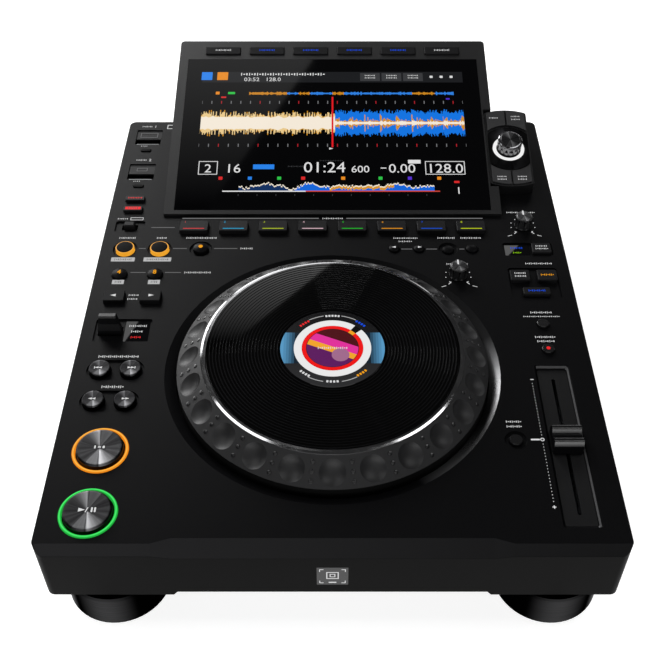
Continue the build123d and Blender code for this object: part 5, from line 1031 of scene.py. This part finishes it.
dress(key_plastic, "sync_and_mode_keys")
sync_words = {
    "white": [
        (143.8, 152.4, 21.4, 1.6, MODE_TOP),
        (143.4, 152.8, 18.6, 1.6, MODE_TOP),
        (125.2, 133.4, -7.6, 1.7, SYNC_TOP),
        (125.2, 133.4, -10.6, 1.7, SYNC_TOP),
    ],
    "amber": [(143.2, 152.6, -9.2, 2, SYNC_TOP)],
    "blue": [(132.6, 144.6, -25.1, 2, SYNC_TOP)],
}
for colour, places in sync_words.items():
    fit(dashed(places), "sync_key_marks_" + colour, "sync_and_mode_keys", inks[colour])

dress(moulded("tempo_button_gloss", "070708", "131314", 0.25, 0.6, 0.01, 0.4), "tempo_buttons")
spot = turned([(0, -0.3), (1.3, -0.3), (1.3, 0.1), (0, 0.2)], 32)
set_down(spot, FADER_X, TEMPO_LIGHT_Y, TEMPO_BUTTON_TOP)
fit([spot], "tempo_light", "tempo_buttons", inks["red"])


# Tempo fader: a plate with a long slot sunk into the cover, and a saddle
# shaped cap on its blade. Dots of its scale are printed beside it.
SCALE_X, SCALE_MIDDLE = 124.6, -152.1
FIRST_DOT, DOT_PITCH, DOTS, DOT = -107.6, 2.28, 40, 0.5
SCALE_REAR, SCALE_FRONT = -104.3, -200.3
WAIST = 83.2
dress(moulded("slot_plate_satin", "070708", "101011", 0.45, 0.4, 0.015, 0.12), "tempo_slot_plate")
fader_cap = moulded("fader_cap_gloss", "050506", "0d0d0e", 0.32, 0.5, 0.01, 0.03)
fader_cap.set({"Coat Weight": (fader_cap.axes()[2] - WAIST * mm) / (2.4 * mm), "Coat Roughness": 0.2})
dress(fader_cap, "tempo_knob")
dot_places = [FIRST_DOT - DOT_PITCH * i for i in range(DOTS)]
scale = [bar(SCALE_X, y, DOT, DOT) for y in dot_places if abs(y - SCALE_MIDDLE) > 2]
scale += [bar(124.8, SCALE_REAR, 2.2, 0.6), bar(120.4, SCALE_MIDDLE, 5.4, 1.1)]
scale += [bar(124.5, SCALE_FRONT, 2.2, 0.6), bar(124.5, SCALE_FRONT, 0.6, 2.2)]
zero = [(0.75, PANEL_TOP), (1.25, PANEL_TOP), (1.25, PANEL_TOP + INK), (0.75, PANEL_TOP + INK)]
scale.append(set_down(turned(zero, 32), SCALE_X, SCALE_MIDDLE, 0))
printed(scale, "tempo_scale", white_ink)


# Touch point: corner marks and a small frame behind the window in the front
# face, upright on the case.
TOUCH_Y, TOUCH_Z = -227.5, 51.0
touch = []
for sx in (-1, 1):
    for sy in (-1, 1):
        touch += [bar(sx * 6.2, sy * 6.9, 2.4, 0.5, 0), bar(sx * 7.2, sy * 5.9, 0.5, 2.4, 0)]
touch += outline(0, 0.8, 7, 7, 0.6, 0) + outline(0, 0.8, 3.2, 3.2, 0.5, 0) + [bar(0, -6.4, 4.4, 1, 0)]
touch = joined(touch)
touch.rotation_euler = (pi / 2, 0, 0)
touch = set_down(touch, 0, TOUCH_Y, TOUCH_Z)
printed([touch], "touch_marks", white_ink)


# Studio: a pale floor, soft boxes above, behind and in front, and level sheets
# of light whose reflections lie across the glass, the platter and the windows.
FLOOR_SIZE = 14
CAMERA_PLACE, CAMERA_TILT, LENS, SENSOR = (0, -0.5379, 0.56286), 44.46, 56.14, 36
floor = primitive("plane", size=FLOOR_SIZE)
floor.name = floor.data.name = "studio_floor"
paper = Finish("studio_paper", Roughness=0.9, Specular_IOR_Level=0.1, Emission_Strength=0.8)
paper.paint(paper.mix(paper.noise(500), "cccccc", "d2d2d2"))
paper.glow("ffffff")
floor.data.materials.append(paper.material)

bpy.ops.object.camera_add(location=CAMERA_PLACE, rotation=(radians(CAMERA_TILT), 0, 0))
camera = bpy.context.object
camera.name = "camera"
camera.data.lens, camera.data.sensor_width = LENS, SENSOR
bpy.context.scene.camera = camera


def softbox(name, place, aim, width, depth, shine):
    """A flat light of even shine that looks from its place towards its aim."""
    bpy.ops.object.light_add(type="AREA", location=place)
    made = bpy.context.object
    made.name = made.data.name = name
    made.data.shape, made.data.size, made.data.size_y = "RECTANGLE", width, depth
    made.data.energy = shine * pi * width * depth
    made.rotation_euler = (Vector(aim) - Vector(place)).to_track_quat("-Z", "Y").to_euler()


MIDDLE, WHEEL_SIDE, FADER_SIDE = (0, 0, 0.08), (0, -0.1, 0.08), (0.14, -0.15, 0.085)
softbox("right_box", (0.95, 0.1, 1.7), WHEEL_SIDE, 0.9, 1.1, 3.5)
softbox("left_box", (-0.95, 0.1, 1.6), WHEEL_SIDE, 0.9, 1.1, 3.0)
softbox("rear_left_box", (-0.95, 1.9, 1.4), MIDDLE, 1.2, 0.9, 13.0)
softbox("left_low_box", (-1.6, 1.4, 0.5), MIDDLE, 1.8, 0.7, 4.0)
softbox("rear_mid_box", (-0.95, 1.78, 0.75), MIDDLE, 0.8, 0.45, 9.0)
softbox("rear_right_box", (0.6, 2.0, 1.0), MIDDLE, 0.8, 0.5, 3.0)
softbox("front_low_box", (-0.3, -2.2, 0.4), MIDDLE, 2.2, 0.6, 5.0)
softbox("front_cap_box", (0.64, -2.2, 0.9), FADER_SIDE, 0.35, 0.3, 4.5)
softbox("front_card", (0, -1.5, 1.7), MIDDLE, 3.0, 0.8, 0.8)


def sheet_of_light(name, height, base, rise, corners):
    """A level sheet, base bright at its front edge and brighter towards the back."""
    sheet = primitive("circle", vertices=len(corners), fill_type="NGON")
    sheet.name = sheet.data.name = name
    for corner, (across, back) in zip(sheet.data.vertices, corners):
        corner.co = (across, back, height)
    light = Finish(name, Base_Color="000000", Roughness=1.0, Specular_IOR_Level=0.0)
    behind = light.axes()[1] - min(back for across, back in corners)
    level = light.maths("MAXIMUM", behind * rise + base, 0.0)
    light.set({"Emission Strength": 1.0})
    light.glow(light.node("CombineXYZ", {}, dict.fromkeys("XYZ", level)))
    sheet.data.materials.append(light.material)


over_glass = ((-0.478, 1.372), (-0.078, 2.027), (-0.078, 2.06), (-0.8, 2.06), (-0.8, 1.372))
over_platter = ((-0.235, 0.945), (0.21, 1.48), (-0.37, 1.48), (-0.37, 0.945))
over_window = ((-0.462, 0.97), (-0.404, 1.135), (-0.384, 1.2), (-0.6, 1.2), (-0.6, 0.97))
over_mode_window = ((0.41, 1.29), (0.445, 1.335), (0.38, 1.335), (0.38, 1.29))
sheet_of_light("glass_sheet", 3.0, 0.0, 0.8, over_glass)
sheet_of_light("platter_sheet", 1.2, -0.22, 6.2, over_platter)
sheet_of_light("window_sheet", 1.2, 1.7, 0.0, over_window)
sheet_of_light("mode_window_sheet", 1.2, 1.7, 0.0, over_mode_window)

world = bpy.data.worlds.new("studio")
world.use_nodes = True
background = world.node_tree.nodes["Background"].inputs
background["Color"].default_value = shade("ffffff")
background["Strength"].default_value = 0.03
bpy.context.scene.world = world
bpy.context.scene.view_settings.view_transform = "Standard"
